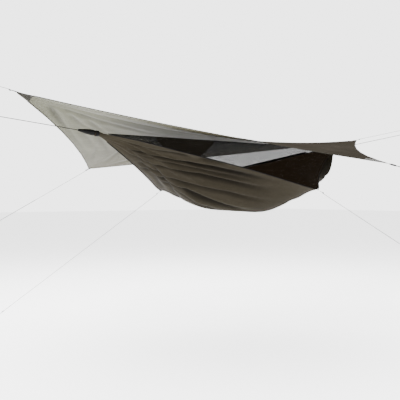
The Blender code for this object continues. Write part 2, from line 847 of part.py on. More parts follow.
def add_hook(name, along):
    """A small wire hook: an eye round the ridgeline, a shank and an open bend."""
    eye = RIDGELINE_DIAMETER / 2 + HOOK_CLEARANCE + HOOK_WIRE_RADIUS
    route = []
    for k in range(HOOK_EYE_STEPS + 1):
        a = HOOK_EYE_START + HOOK_EYE_SWEEP * k / HOOK_EYE_STEPS
        route.append(Vector((0, eye * math.cos(a), eye * math.sin(a))))
    bend = 2 * eye
    route.append(Vector((0, -eye / 2, -eye - bend / 2)))
    route.append(Vector((0, 0, -HOOK_DROP + bend)))
    for k in range(HOOK_BEND_STEPS + 1):
        a = math.pi + HOOK_BEND_SWEEP * k / HOOK_BEND_STEPS
        route.append(Vector((0, eye + eye * math.cos(a), -HOOK_DROP + eye * math.sin(a))))
    hook = add_cord(name, route, HOOK_WIRE_RADIUS, "black_plastic")
    hook.location = (along, 0, 0)


def add_band(name, side):
    """The webbing band that holds the bed's gathered cloth."""
    inner = BUNCH_RADIUS + BED_THICKNESS + CLOTH_CLEARANCE
    outer = inner + BAND_WALL
    start, end = HALF, HALF + BAND_LENGTH
    profile = ((start, inner), (start, outer), (end, outer), (end, inner))
    loops = []
    for k in range(RING_FACES):
        a = 2 * math.pi * k / RING_FACES
        loops.append([Vector((side * x, r * math.cos(a), r * math.sin(a))) for x, r in profile])
    add_loft(name, loops, "black_webbing", ring=True)


def add_end_sleeve(name, side, direction):
    """The black sleeve drawn up on the rope: pleated, and tapered to the rope."""
    bore = ROPE_DIAMETER / 2 + SLEEVE_CLEARANCE
    shares = ((0.0, 0.92), (0.12, 1.0), (0.45, 0.78), (0.75, 0.38), (1.0, 0.0))
    loops = []
    for reach_share, radius_share in shares:
        radius = SLEEVE_TIP_RADIUS + (SLEEVE_RADIUS - SLEEVE_TIP_RADIUS) * radius_share
        loop = []
        for k in range(SLEEVE_FACES):
            a = 2 * math.pi * k / SLEEVE_FACES
            pleat = SLEEVE_PLEAT_DEPTH * radius_share * math.cos(SLEEVE_PLEATS * a)
            r = radius + pleat / 2
            x = SLEEVE_LENGTH * reach_share
            loop.append(Vector((x, r * math.cos(a), r * math.sin(a))))
        loops.append(loop)
    for reach_share in (1.0, 0.0):
        loop = []
        for k in range(SLEEVE_FACES):
            a = 2 * math.pi * k / SLEEVE_FACES
            x = SLEEVE_LENGTH * reach_share
            loop.append(Vector((x, bore * math.cos(a), bore * math.sin(a))))
        loops.append(loop)
    tilt_room = SLEEVE_RADIUS * abs(direction.z) + CLOTH_CLEARANCE
    start = Vector((side * HALF, 0, 0)) + direction * (BAND_LENGTH + tilt_room)
    frame = frame_of(start, direction, (0, 0, 1))
    add_loft(name, loops, "black_webbing", ring=True, frame=frame)


def rope_frame(centre, direction):
    """A frame at a hang ring: X back along the rope, Y to the far side."""
    return frame_of(centre, -direction, (0, 0, 1))


def add_suspension(side_name, side, direction, centre):
    """One suspension rope with its knot and its eye, the eye's whipping and the hang ring."""
    frame = rope_frame(centre, direction)
    reach = (centre - Vector((side * HALF, 0, 0))).length
    knot = [reach - step for step in ROPE_KNOT]
    straight = spread((knot[-1], ROPE_EYE[0][0]), (round(reach / LINE_STEP),))[1:-1]
    route = [frame @ Vector((back, 0, 0)) for back in (*knot, *straight)]
    route += smooth_route([frame @ Vector((back, off, 0)) for back, off in ROPE_EYE], 2)
    radii = [ROPE_KNOT_RADIUS * share for share in ROPE_KNOT_SHARES]
    radii += [ROPE_DIAMETER / 2] * (len(route) - len(radii))
    add_cord(f"suspension_rope_{side_name}", route, ROPE_DIAMETER / 2, "cord", radii)
    add_whipping(f"rope_whipping_{side_name}", frame)
    add_ring(f"hang_ring_{side_name}", frame)


def add_whipping(name, frame):
    """The flat sleeve that binds the rope's tail to the rope."""
    strand = ROPE_EYE[4][1]
    inner = ROPE_DIAMETER / 2 + WHIPPING_CLEARANCE
    loops = []
    for back, radius in (
        (WHIPPING_START, inner + WHIPPING_WALL),
        (WHIPPING_START + WHIPPING_LENGTH, inner + WHIPPING_WALL),
        (WHIPPING_START + WHIPPING_LENGTH, inner),
        (WHIPPING_START, inner),
    ):
        loop = []
        for middle, first in ((-strand, -math.pi / 2), (strand, math.pi / 2)):
            for k in range(WHIPPING_STEPS + 1):
                a = first + math.pi * k / WHIPPING_STEPS
                y, z = middle + radius * math.cos(a), radius * math.sin(a)
                loop.append(Vector((back, y, z)))
        loops.append(loop)
    add_loft(name, loops, "black_webbing", ring=True, frame=frame)


def add_ring(name, frame):
    """The flat-sided hang ring, with chamfered rims."""
    half, bevel = RING_THICKNESS / 2, RING_CHAMFER
    inner, outer = RING_BORE_RADIUS, RING_OUTER_RADIUS
    profile = (
        (inner + bevel, -half),
        (outer - bevel, -half),
        (outer, bevel - half),
        (outer, half - bevel),
        (outer - bevel, half),
        (inner + bevel, half),
        (inner, half - bevel),
        (inner, bevel - half),
    )
    loops = []
    for k in range(RING_FACES):
        a = 2 * math.pi * k / RING_FACES
        loops.append([Vector((r * math.cos(a), y, r * math.sin(a))) for r, y in profile])
    add_loft(name, loops, "aluminium", ring=True, frame=frame)


FLY_LEFT = Vector((-FLY_LEFT_REACH, 0, FLY_LEFT_RISE))
FLY_RIGHT = Vector((FLY_RIGHT_REACH, 0, FLY_RIGHT_RISE))
FLY_NEAR = Vector((FLY_NEAR_ALONG, -FLY_NEAR_ACROSS, -FLY_NEAR_DROP))
FLY_FAR = Vector((-FLY_FAR_ALONG, FLY_FAR_ACROSS, -FLY_FAR_DROP))


def fly_ridge(along):
    """The fly's ridge seam, which sags between its two ends."""
    t = (along - FLY_LEFT.x) / (FLY_RIGHT.x - FLY_LEFT.x)
    point = FLY_LEFT.lerp(FLY_RIGHT, t)
    point.z -= FLY_RIDGE_SAG * 4 * t * (1 - t)
    return point


def fly_edge(along, far):
    """The fly's hem at this place along the ridge, drawn in and down between corners."""
    corner = FLY_FAR if far else FLY_NEAR
    left = along <= corner.x
    end = FLY_LEFT if left else FLY_RIGHT
    bows = {
        (True, False): HEM_LEFT_NEAR_BOW,
        (True, True): HEM_LEFT_FAR_BOW,
        (False, False): HEM_RIGHT_NEAR_BOW,
        (False, True): HEM_RIGHT_FAR_BOW,
    }
    inwards, down = bows[left, far]
    t = (along - end.x) / (corner.x - end.x)
    bow = 4 * t * (1 - t)
    point = end.lerp(corner, t)
    point.y += (-inwards if far else inwards) * bow
    point.z -= down * bow
    return point


def fly_places():
    """The places along the ridge where the fly has a section."""
    around = (-PATCH_REACH, -HEM_CORNER_GAP, 0, HEM_CORNER_GAP, PATCH_REACH)
    keys = [FLY_LEFT.x + step for step in (CORNER_CUT, HEM_START, END_PATCH_REACH)]
    keys += [FLY_FAR.x + step for step in around]
    keys += [FLY_NEAR.x + step for step in around]
    keys += [FLY_RIGHT.x - step for step in (END_PATCH_REACH, HEM_START, CORNER_CUT)]
    return spread(keys, FLY_SPAN_COUNTS)


def fly_row(along, far):
    """One section of a fly panel, from the ridge to the hem, a little crowned."""
    ridge, edge = fly_ridge(along), fly_edge(along, far)
    width = (edge - ridge).length
    ridge.y += FLY_SEAM_GAP / 2 if far else -FLY_SEAM_GAP / 2
    tape = min(RIDGE_TAPE_HALF_WIDTH / width, MOST_TAPE_SHARE)
    hem = 1 - min(HEM_WIDTH / width, MOST_HEM_SHARE)
    patch = 1 - min(PATCH_DEPTH / width, MOST_PATCH_SHARE)
    inner = spread((tape, patch), (FLY_MIDDLE_COLUMNS,))
    row = []
    for share in (0, *inner, hem, 1):
        point = ridge.lerp(edge, share)
        crowned = max(0, share - tape) * max(0, hem - share)
        point.z += FLY_CROWN * 4 * crowned * min(1, width / FLY_NEAR_ACROSS)
        row.append(point)
    return row


def fly_turn(far):
    """The number of the section at the panel's corner."""
    corner = FLY_FAR if far else FLY_NEAR
    places = fly_places()
    return min(range(len(places)), key=lambda k: abs(places[k] - corner.x))


def lifted(points, lift):
    """The same points moved straight up, or down if lift is negative."""
    return [point + Vector((0, 0, lift)) for point in points]


def fly_grid(far):
    """The points and triangles of a fly panel."""
    rows = [fly_row(along, far) for along in fly_places()]
    turn = fly_turn(far)
    return grid_triangles(rows, lambda i, j: i < turn)


def add_fly_panels():
    """The near and far panels, which meet at the ridge seam."""
    for name, far in (("fly_near_panel", False), ("fly_far_panel", True)):
        points, faces = fly_grid(far)
        add_sheet(name, points, faces, FLY_THICKNESS, "fly_cloth")


def fly_height(x, y):
    """The point of the fly's middle surface straight above or below this place."""
    beside = math.copysign(max(abs(y), FLY_SEAM_GAP), y)
    points, faces = fly_grid(beside > 0)
    start, down = Vector((x, beside, FLY_LEFT_REACH)), Vector((0, 0, -1))
    hits = (intersect_ray_tri(*(points[k] for k in f), down, start, True) for f in faces)
    return Vector((x, y, next(hit.z for hit in hits if hit)))


def across_ridge(sections, columns, lift):
    """A strip of sheet over or under the ridge, of the two panels' own triangles."""
    rows = []
    for k in sections:
        near, far = (fly_row(fly_places()[k], side) for side in (False, True))
        middle = (near[0] + far[0]) / 2
        rows.append(lifted((*near[columns:0:-1], middle, *far[1 : columns + 1]), lift))
    turns = [fly_turn(side) for side in (False, True)]

    def turned(i, j):
        if j < columns:
            return sections[i] >= turns[0]
        return sections[i] < turns[1]

    return grid_triangles(rows, turned)


def add_ridge_tape():
    """The tape over the ridge seam, folded to both panels' slopes."""
    lift = (FLY_THICKNESS + RIDGE_TAPE_THICKNESS) / 2 + CLOTH_CLEARANCE
    points, faces = across_ridge(range(1, len(fly_places()) - 1), 1, lift)
    add_sheet("fly_ridge_tape", points, faces, RIDGE_TAPE_THICKNESS, "fly_tape")


def add_hem(name, far, start, end):
    """The tape folded over one hem of the fly, from one place along the ridge to another."""
    inside = FLY_THICKNESS / 2 + HEM_CLEARANCE
    outside = inside + HEM_WALL
    tip, back = HEM_WIDTH - HEM_CLEARANCE, -HEM_CLEARANCE - HEM_WALL
    outline = (
        (tip, outside),
        (back, outside),
        (back, -outside),
        (tip, -outside),
        (tip, -inside),
        (-HEM_CLEARANCE, -inside),
        (-HEM_CLEARANCE, inside),
        (tip, inside),
    )
    places = [x for x in fly_places() if start - CLOTH_CLEARANCE < x < end + CLOTH_CLEARANCE]
    rows = [fly_row(along, far) for along in places]
    loops = []
    for k, row in enumerate(rows):
        ahead = rows[min(k + 1, len(rows) - 1)][-1] - rows[max(k - 1, 0)][-1]
        inwards = (row[-2] - row[-1]).normalized()
        up = ahead.cross(inwards).normalized()
        if up.z < 0:
            up = -up
        loops.append([row[-1] + inwards * p + up * q for p, q in outline])
    add_loft(name, loops, "fly_tape")


def add_hems():
    """The four hems, each clear of the corners that the tabs need."""
    left, right = FLY_LEFT.x + HEM_START, FLY_RIGHT.x - HEM_START
    for side, far, corner in (("near", False, FLY_NEAR.x), ("far", True, FLY_FAR.x)):
        add_hem(f"fly_hem_left_{side}", far, left, corner - HEM_CORNER_GAP)
        add_hem(f"fly_hem_right_{side}", far, corner + HEM_CORNER_GAP, right)


def add_side_patch(name, far):
    """The patch at a side corner, on top of its panel, of the panel's own triangles."""
    lift = (FLY_THICKNESS + PATCH_THICKNESS) / 2 + PATCH_CLEARANCE
    turn, places = fly_turn(far), fly_places()
    rows = [lifted(fly_row(places[turn + k], far)[-3:-1], lift) for k in (-2, -1, 0, 1, 2)]
    points = [rows[0][1], *(p for row in rows[1:-1] for p in row), rows[-1][1]]
    faces = [(0, 1, 2), (1, 3, 2), (3, 4, 2), (3, 5, 6), (3, 6, 4), (5, 7, 6)]
    add_sheet(name, points, faces, PATCH_THICKNESS, "fly_tape")


def add_end_patch(name, sections):
    """The patch at a ridge end, under both panels."""
    lift = -(FLY_THICKNESS + PATCH_THICKNESS) / 2 - PATCH_CLEARANCE
    columns = 1 + FLY_MIDDLE_COLUMNS + 1
    points, faces = across_ridge(sections, columns, lift)
    add_sheet(name, points, faces, PATCH_THICKNESS, "fly_tape")


def heading(parts):
    """A unit direction from its two level components and its rise over run."""
    level = Vector((parts[0], parts[1], 0)).normalized()
    return (level + Vector((0, 0, parts[2]))).normalized()


def add_tab(name, rows):
    """A strip of webbing through rows of three points, one row to each turn of the strip."""
    points, faces = grid_triangles(rows)
    return add_sheet(name, points, faces, TAB_THICKNESS, "black_webbing")


def seated_rows(corner, direction, lift, seat):
    """The rows of a tab's inner part, which lies on or under the fly at a corner."""
    level = Vector((direction.x, direction.y, 0)).normalized()
    side = Vector((-level.y, level.x, 0)) * TAB_HALF_WIDTH
    rows = []
    for reach in seat:
        row = []
        for share in (-1, 0, 1):
            place = corner - level * reach + side * share
            row.append(fly_height(place.x, place.y) + Vector((0, 0, lift)))
        rows.append(row)
    return rows


def strip_row(frame, reach, half_width, turn=0.0):
    """Three points across a strip that runs along a frame's X, turned about it."""
    place = frame @ Matrix.Translation((reach, 0, 0)) @ Matrix.Rotation(turn, 4, "X")
    return [place @ Vector((0, share * half_width, 0)) for share in (-1, 0, 1)]


def punch(piece, frame, reach, depth):
    """Punch the hole that a line passes through, this far along a frame's X."""
    place = frame @ Matrix.Translation((reach, 0, 0))
    rod = rod_mesh(piece.name + "_hole", TAB_HOLE_RADIUS, depth + 2 * CUT_OVERRUN)
    cut(piece, add_cutter(piece.name + "_hole", rod, place))
    return place


def add_line(name, hole, knot_side, depth, reach, doubled):
    """A line from its stopper knot, through a hole, to the eye at its far end."""
    face = knot_side * depth / 2
    route = [hole @ Vector((0, 0, face + knot_side * off)) for off, _ in LINE_KNOT]
    radii = [radius for _, radius in LINE_KNOT]
    bend = [hole @ Vector((out, 0, -face - knot_side * off)) for out, off in LINE_BEND]
    route += smooth_route(bend, 2)
    begin, offset = LINE_BEND[-1]
    base = hole @ Matrix.Translation((0, 0, -face - knot_side * offset))
    split, join = reach - doubled, reach - LINE_EYE_LENGTH
    single_end = split - LINE_EYE_LENGTH
    single = spread((begin, single_end), (max(1, round((single_end - begin) / LINE_STEP)),))
    route += [base @ Vector((out, 0, 0)) for out in single[1:]]
    strand = spread((split, join), (max(1, round((join - split) / LINE_STEP)),))
    route += [base @ Vector((out, -STRAND_OFFSET, 0)) for out in strand[:-1]]
    route += smooth_route([base @ Vector((reach - back, off, 0)) for back, off in LINE_EYE], 2)
    route += [base @ Vector((out, STRAND_OFFSET, 0)) for out in reversed(strand[:-1])]
    radii += [LINE_DIAMETER / 2] * (len(route) - len(radii))
    add_cord(name, route, LINE_DIAMETER / 2, "cord", radii)
    return base @ Matrix.Translation((reach - RUNNER_PLACE, 0, 0))


def add_runner(name, frame):
    """A runner with two bores, which slides on the doubled end of a guy line."""
    low = (-RUNNER_LENGTH / 2, -RUNNER_HALF_WIDTH, -RUNNER_THICKNESS / 2)
    high = (RUNNER_LENGTH / 2, RUNNER_HALF_WIDTH, RUNNER_THICKNESS / 2)
    runner = add_object(name, box_mesh(name, low, high), "black_plastic", frame)
    bevel = runner.modifiers.new("bevel", "BEVEL")
    bevel.width = RUNNER_BEVEL
    bevel.segments = 2
    bore = LINE_DIAMETER / 2 + RUNNER_BORE_CLEARANCE
    for side in (-1, 1):
        rod = rod_mesh(f"{name}_bore", bore, RUNNER_LENGTH + 2 * CUT_OVERRUN)
        place = frame @ Matrix.Translation((0, side * STRAND_OFFSET, 0))
        place = place @ Matrix.Rotation(math.pi / 2, 4, "Y")
        cut(runner, add_cutter(f"{name}_bore", rod, place))


def add_corner_tab(name, corner, direction, lift, seat):
    """The tab at a corner of the fly, and the frame of its hole."""
    rows = seated_rows(corner, direction, lift, seat)
    frame = frame_of(corner + Vector((0, 0, lift)), direction, (0, 0, 1))
    rows += [strip_row(frame, reach, TAB_HALF_WIDTH) for reach in (CORNER_STEP, TAB_END_REACH)]
    return punch(add_tab(name, rows), frame, TAB_HOLE_REACH, TAB_THICKNESS)


def add_near_strap():
    """The twisted strap at the near corner, and the buckle that its end sits in."""
    lift = -(FLY_THICKNESS + TAB_THICKNESS) / 2 - TAB_CLEARANCE
    direction = heading(NEAR_GUY_HEADING)
    frame = frame_of(FLY_NEAR + Vector((0, 0, lift)), direction, (0, 0, 1))
    rows = seated_rows(FLY_NEAR, direction, lift, SIDE_TAB_SEAT)
    rows.append(strip_row(frame, CORNER_STEP, TAB_HALF_WIDTH))
    free = STRAP_LENGTH - BUCKLE_SLOT_DEPTH - 2 * CORNER_STEP
    for k in range(STRAP_STEPS + 1):
        share = k / STRAP_STEPS
        reach = 2 * CORNER_STEP + free * share
        rows.append(strip_row(frame, reach, STRAP_HALF_WIDTH, STRAP_TURN * share))
    rows.append(strip_row(frame, STRAP_LENGTH, STRAP_HALF_WIDTH, STRAP_TURN))
    add_tab("fly_strap_near", rows)
    start = STRAP_LENGTH - BUCKLE_SLOT_DEPTH + BUCKLE_CLEARANCE
    low = (start, -BUCKLE_HALF_WIDTH, -BUCKLE_THICKNESS / 2)
    high = (start + BUCKLE_LENGTH, BUCKLE_HALF_WIDTH, BUCKLE_THICKNESS / 2)
    mesh = box_mesh("near_buckle", low, high)
    buckle = add_object("near_buckle", mesh, "black_plastic", frame)
    bevel = buckle.modifiers.new("bevel", "BEVEL")
    bevel.width = BUCKLE_BEVEL
    bevel.segments = 2
    wide, thick = STRAP_HALF_WIDTH + BUCKLE_CLEARANCE, TAB_THICKNESS / 2 + BUCKLE_CLEARANCE
    slot_low = (start - CUT_OVERRUN, -wide, -thick)
    slot_high = (STRAP_LENGTH + BUCKLE_CLEARANCE, wide, thick)
    slot = box_mesh("near_buckle_slot", slot_low, slot_high)
    cut(buckle, add_cutter("near_buckle_slot", slot, frame))
    return punch(buckle, frame, start + BUCKLE_HOLE_REACH, BUCKLE_THICKNESS)


def add_side_tab(name, corner, direction):
    """A tie-out tab on the bed's edge tape, and the frame of its hole."""
    frame = frame_of(corner, direction, (0, 0, 1))
    start = EDGE_TAPE_RADIUS + CLOTH_CLEARANCE
    rows = [strip_row(frame, reach, TAB_HALF_WIDTH) for reach in (start, TAB_END_REACH)]
    return punch(add_tab(name, rows), frame, TAB_HOLE_REACH, TAB_THICKNESS)


def build():
    clear_scene()
    origin = bpy.data.objects.new("hammock_origin", None)
    bpy.context.scene.collection.objects.link(origin)
    origin.location = -LEFT_RING
    add_bed()
    add_edge_tapes()
    add_nets()
    add_ridgeline()
    add_zip_tapes()
    for side_name, along in zip(("left", "right"), SLIDER_PLACES):
        add_slider(f"zip_slider_{side_name}", along)
        add_pull(f"zip_pull_{side_name}", along)
    add_pocket()
    for side_name, along in zip(("left", "right"), HOOK_PLACES):
        add_hook(f"ridgeline_hook_{side_name}", along)
    ends = (("left", -1, LEFT_ROPE, LEFT_RING), ("right", 1, RIGHT_ROPE, RIGHT_RING))
    for side_name, side, direction, centre in ends:
        add_band(f"gather_band_{side_name}", side)
        add_end_sleeve(f"end_sleeve_{side_name}", side, direction)
        add_suspension(side_name, side, direction, centre)
    add_fly_panels()
    add_ridge_tape()
    add_hems()
    add_side_patch("fly_patch_near", False)
    add_side_patch("fly_patch_far", True)
    sections = len(fly_places())
    add_end_patch("fly_patch_left", (0, 1, 2))
    add_end_patch("fly_patch_right", (sections - 3, sections - 2, sections - 1))
    tab_lift = (FLY_THICKNESS + TAB_THICKNESS) / 2 + TAB_CLEARANCE
    left_way, right_way = heading((-1, 0, LEFT_LINE_RISE_SHARE)), heading((1, 0, RIGHT_LINE_RISE_SHARE))
    far_way = heading(FAR_GUY_HEADING)
    left_hole = add_corner_tab("fly_tab_left", FLY_LEFT, left_way, tab_lift, END_TAB_SEAT)
    right_hole = add_corner_tab(
        "fly_tab_right", FLY_RIGHT, right_way, tab_lift, END_TAB_SEAT
    )
    far_hole = add_corner_tab("fly_tab_far", FLY_FAR, far_way, -tab_lift, SIDE_TAB_SEAT)
    near_hole = add_near_strap()
    near_side_corner, far_side_corner = bed_edge(TIE_OUT_ALONG), bed_edge(-TIE_OUT_ALONG, True)
    near_side = add_side_tab("side_tab_near", near_side_corner, heading(NEAR_SIDE_HEADING))
    far_side = add_side_tab("side_tab_far", far_side_corner, heading(FAR_SIDE_HEADING))
    thin, thick = TAB_THICKNESS, BUCKLE_THICKNESS
    add_line("fly_line_left", left_hole, -1, thin, LEFT_LINE_REACH, LEFT_LINE_DOUBLED)
    add_line("fly_line_right", right_hole, -1, thin, RIGHT_LINE_REACH, RIGHT_LINE_DOUBLED)
    guys = (
        ("fly_guy_near", near_hole, thick, NEAR_GUY_REACH, NEAR_GUY_DOUBLED),
        ("fly_guy_far", far_hole, thin, FAR_GUY_REACH, FAR_GUY_DOUBLED),
        ("side_guy_near", near_side, thin, NEAR_SIDE_REACH, NEAR_SIDE_DOUBLED),
        ("side_guy_far", far_side, thin, FAR_SIDE_REACH, FAR_SIDE_DOUBLED),
    )
    for name, hole, depth, reach, doubled in guys:
        frame = add_line(name, hole, 1, depth, reach, doubled)
        add_runner(f"{name}_runner", frame)


build()
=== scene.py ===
"""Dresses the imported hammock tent: its cords, its cloth, its materials, the floor, light and camera."""

import json
import math

import bmesh
import bpy
import numpy as np
from mathutils import Matrix, Vector
from mathutils.kdtree import KDTree


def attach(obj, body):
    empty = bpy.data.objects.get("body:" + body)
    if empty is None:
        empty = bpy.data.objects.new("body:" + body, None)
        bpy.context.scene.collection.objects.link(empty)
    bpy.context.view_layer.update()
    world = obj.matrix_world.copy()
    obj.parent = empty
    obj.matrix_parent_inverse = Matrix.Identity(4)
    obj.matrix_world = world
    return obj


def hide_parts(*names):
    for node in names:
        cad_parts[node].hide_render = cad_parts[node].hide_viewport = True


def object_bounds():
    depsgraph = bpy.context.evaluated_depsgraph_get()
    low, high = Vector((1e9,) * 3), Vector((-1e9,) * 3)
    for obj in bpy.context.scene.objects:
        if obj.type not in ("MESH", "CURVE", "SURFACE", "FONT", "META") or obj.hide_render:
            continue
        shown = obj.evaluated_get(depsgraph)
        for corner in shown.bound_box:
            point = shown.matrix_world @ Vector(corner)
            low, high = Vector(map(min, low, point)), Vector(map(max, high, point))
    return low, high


# The middle of the ridgeline and half its length. The routes below are written about it.
MIDDLE = Vector((2.133, 0.0, -0.082216))
HALF = 1.273

# The camera that the photograph's lines give
CAMERA_PLACE = (-1.342, -4.19, -0.5442)
CAMERA_YAW = 0.641
CAMERA_PITCH = 0.005
CAMERA_LENS = 57.6
SENSOR_WIDTH = 36.0

# The ropes and lines. A rope is (side, rise over run, level reach, length).
ROPE_DIAMETER = 0.005
LINE_DIAMETER = 0.003
RIDGELINE_DIAMETER = 0.003
CORD_BEVEL_STEPS = 3
LINE_STEP = 0.110
CURVE_STEPS = 2
STRAND_OFFSET = 0.0024
LINE_EYE_LENGTH = 0.030
ROPES = {"left": (-1, 0.0956, 0.860, 1.00), "right": (1, 0.1883, 1.240, 1.40)}
ROPE_KNOT_RADIUS = 0.011
ROPE_KNOT = (0.004, 0.010, 0.018, 0.023)
ROPE_KNOT_SHARES = (0.55, 1.0, 0.95)

# The eye of a rope, from the ring's middle: (back towards the hammock, offset)
ROPE_EYE = (
    (0.1500, 0.0000), (0.1300, -0.0012), (0.1120, -0.0029), (0.0950, -0.0029),
    (0.0780, -0.0029), (0.0640, -0.0058), (0.0500, -0.0095), (0.0370, -0.0112),
    (0.0265, -0.0105), (0.0192, -0.0075), (0.0160, 0.0000), (0.0192, 0.0075),
    (0.0265, 0.0105), (0.0370, 0.0112), (0.0500, 0.0095), (0.0640, 0.0058),
    (0.0780, 0.0029), (0.0950, 0.0029), (0.1140, 0.0029),
)

# The eye of a line, from its far end: (back towards the hammock, offset)
LINE_EYE = (
    (0.0300, -0.0024), (0.0220, -0.0045), (0.0140, -0.0068), (0.0070, -0.0066),
    (0.0018, -0.0038), (0.0000, 0.0000), (0.0018, 0.0038), (0.0070, 0.0066),
    (0.0140, 0.0068), (0.0220, 0.0045), (0.0300, 0.0024),
)

# The knot behind a line's hole, from the face round the hole: (off the face, radius)
LINE_KNOT = (
    (0.0062, 0.0024), (0.0044, 0.0038), (0.0022, 0.0039), (0.0008, 0.0034),
    (0.0003, 0.0015),
)

# The bend out of a line's hole: (out from the hole, off the face)
LINE_BEND = (
    (0.0003, 0.0003), (0.0014, 0.0014), (0.0032, 0.0020), (0.0060, 0.0021),
    (0.0120, 0.0021),
)

TAB_THICKNESS = 0.0018
TAB_CLEARANCE = 0.0005
TAB_HOLE_REACH = 0.030
FLY_THICKNESS = 0.0012
BUCKLE_HOLE_REACH = 0.1004
BUCKLE_THICKNESS = 0.0060
FLY_CORNERS = {
    "left": (-1.903, 0.0, 0.246),
    "right": (1.611, 0.0, 0.104),
    "near": (0.372, -1.297, -0.219),
    "far": (-0.687, 1.318, -0.196),
}
SIDE_CORNERS = {"near": (0.246, -0.758, -0.415), "far": (-0.246, 0.758, -0.415)}
TAB_LIFT = (FLY_THICKNESS + TAB_THICKNESS) / 2 + TAB_CLEARANCE

# The lines at the ridge's ends: (heading, reach, doubled stretch, length)
END_LINES = {
    "left": ((-1, 0, 0.1722), 0.240, 0.070, 0.32),
    "right": ((1, 0, 0.1915), 0.860, 0.120, 0.99),
}

# The guy lines: (corner, heading, lift over the corner, depth of what the hole is in, reach of
# the hole, reach, doubled stretch, length)
GUYS = {
    "fly_guy_near": (FLY_CORNERS["near"], (0.40, -0.917, -0.304), -TAB_LIFT, BUCKLE_THICKNESS,
                     BUCKLE_HOLE_REACH, 0.280, 0.140, 0.43),
    "fly_guy_far": (FLY_CORNERS["far"], (-0.40, 0.917, -0.4297), -TAB_LIFT, TAB_THICKNESS,
                    TAB_HOLE_REACH, 1.330, 0.620, 1.96),
    "side_guy_near": (SIDE_CORNERS["near"], (0.55, -0.835, -0.6616), 0, TAB_THICKNESS,
                      TAB_HOLE_REACH, 0.770, 0.300, 1.08),
    "side_guy_far": (SIDE_CORNERS["far"], (-0.80, 0.60, -0.7606), 0, TAB_THICKNESS,
                     TAB_HOLE_REACH, 1.850, 0.140, 2.00),
}

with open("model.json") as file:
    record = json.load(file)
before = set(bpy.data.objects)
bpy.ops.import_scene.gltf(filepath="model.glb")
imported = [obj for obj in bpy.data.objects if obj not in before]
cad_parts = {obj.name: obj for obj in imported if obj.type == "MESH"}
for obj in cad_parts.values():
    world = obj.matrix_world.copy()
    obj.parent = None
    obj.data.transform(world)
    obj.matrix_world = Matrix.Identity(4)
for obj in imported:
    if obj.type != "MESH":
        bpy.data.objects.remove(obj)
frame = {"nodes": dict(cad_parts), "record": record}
cad_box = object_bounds()


def linked(name, data):
    """A new object of the scene."""
    made = bpy.data.objects.new(name, data)
    bpy.context.scene.collection.objects.link(made)
    return made


# Camera

def place_camera():
    data = bpy.data.cameras.new("camera")
    data.lens = CAMERA_LENS
    data.sensor_width = SENSOR_WIDTH
    camera = linked("camera", data)
    camera.location = CAMERA_PLACE
    camera.rotation_euler = (math.pi / 2 - CAMERA_PITCH, 0, -CAMERA_YAW)
    bpy.context.scene.camera = camera


place_camera()


# Routes of the cords

knots = []


def frame_of(origin, first, third):
    """A frame whose X lies along first and whose Z is as near third as it can be."""
    x = Vector(first).normalized()
    y = Vector(third).cross(x).normalized()
    z = x.cross(y)
    return Matrix.Translation(origin) @ Matrix((x, y, z)).transposed().to_4x4()


def heading(parts):
    """A unit direction from its two level components and its rise over run."""
    level = Vector((parts[0], parts[1], 0)).normalized()
    return (level + Vector((0, 0, parts[2]))).normalized()


def spread(start, end, count):
    """Places from start to end in equal steps."""
    return [start + (end - start) * k / count for k in range(count + 1)]


def smooth_route(points, steps):
    """Points read from the smooth curve through the given ones, steps to each span."""
    padded = [2 * points[0] - points[1], *points, 2 * points[-1] - points[-2]]
    route = []
    for k in range(1, len(padded) - 2):
        p0, p1, p2, p3 = padded[k - 1 : k + 3]
        for step in range(steps):
            t = step / steps
            route.append(
                p1
                + (p2 - p0) * (t / 2)
                + (2 * p0 - 5 * p1 + 4 * p2 - p3) * (t * t / 2)
                + (3 * p1 - p0 - 3 * p2 + p3) * (t * t * t / 2)
            )
    route.append(padded[-2])
    return route


def cord_curve(name, route, radius, radii=None):
    curve = bpy.data.curves.new(name, "CURVE")
    curve.dimensions = "3D"
    curve.bevel_depth = radius
    curve.bevel_resolution = CORD_BEVEL_STEPS
    curve.use_fill_caps = True
    spline = curve.splines.new("POLY")
    spline.points.add(len(route) - 1)
    for k, point in enumerate(route):
        spline.points[k].co = (*(MIDDLE + point), 1)
        spline.points[k].radius = radii[k] / radius if radii else 1
    spline.use_smooth = True
    return linked(name, curve)


def declare(cord, route, node, diameter, on_it=(), knot=()):
    """A taut cord rides on the hammock and stands for its CAD tube, its knot with it."""
    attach(cord, "root")
    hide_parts(node)
    pieces = [frame["nodes"][name] for name in on_it]
    if knot:
        stopper = cord_curve(cord.name + "_knot", route[: len(knot)], diameter / 2, knot)
        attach(stopper, "root")
        knots.append(stopper)
        pieces.append(stopper)
    return cord


def suspension(side_name, side, rise, level_reach, length):
    """A rope from its knot at the ridgeline's end to its eye round the hang ring."""
    start = Vector((side * HALF, 0, 0))
    direction = Vector((side, 0, rise))
    centre = start + direction * level_reach
    ring = frame_of(centre, -direction, (0, 0, 1))
    reach = (centre - start).length
    knot = [reach - step for step in ROPE_KNOT]
    straight = spread(knot[-1], ROPE_EYE[0][0], round(reach / LINE_STEP))[1:-1]
    route = [ring @ Vector((back, 0, 0)) for back in (*knot, *straight)]
    eye = [ring @ Vector((back, off, 0)) for back, off in ROPE_EYE]
    route += smooth_route(eye, CURVE_STEPS)
    knot = [ROPE_KNOT_RADIUS * share for share in ROPE_KNOT_SHARES]
    cord = cord_curve(f"rope_{side_name}", route, ROPE_DIAMETER / 2)
    on_it = (f"rope_whipping_{side_name}", f"hang_ring_{side_name}")
    node = f"suspension_rope_{side_name}"
    return declare(cord, route, node, ROPE_DIAMETER, on_it, knot)


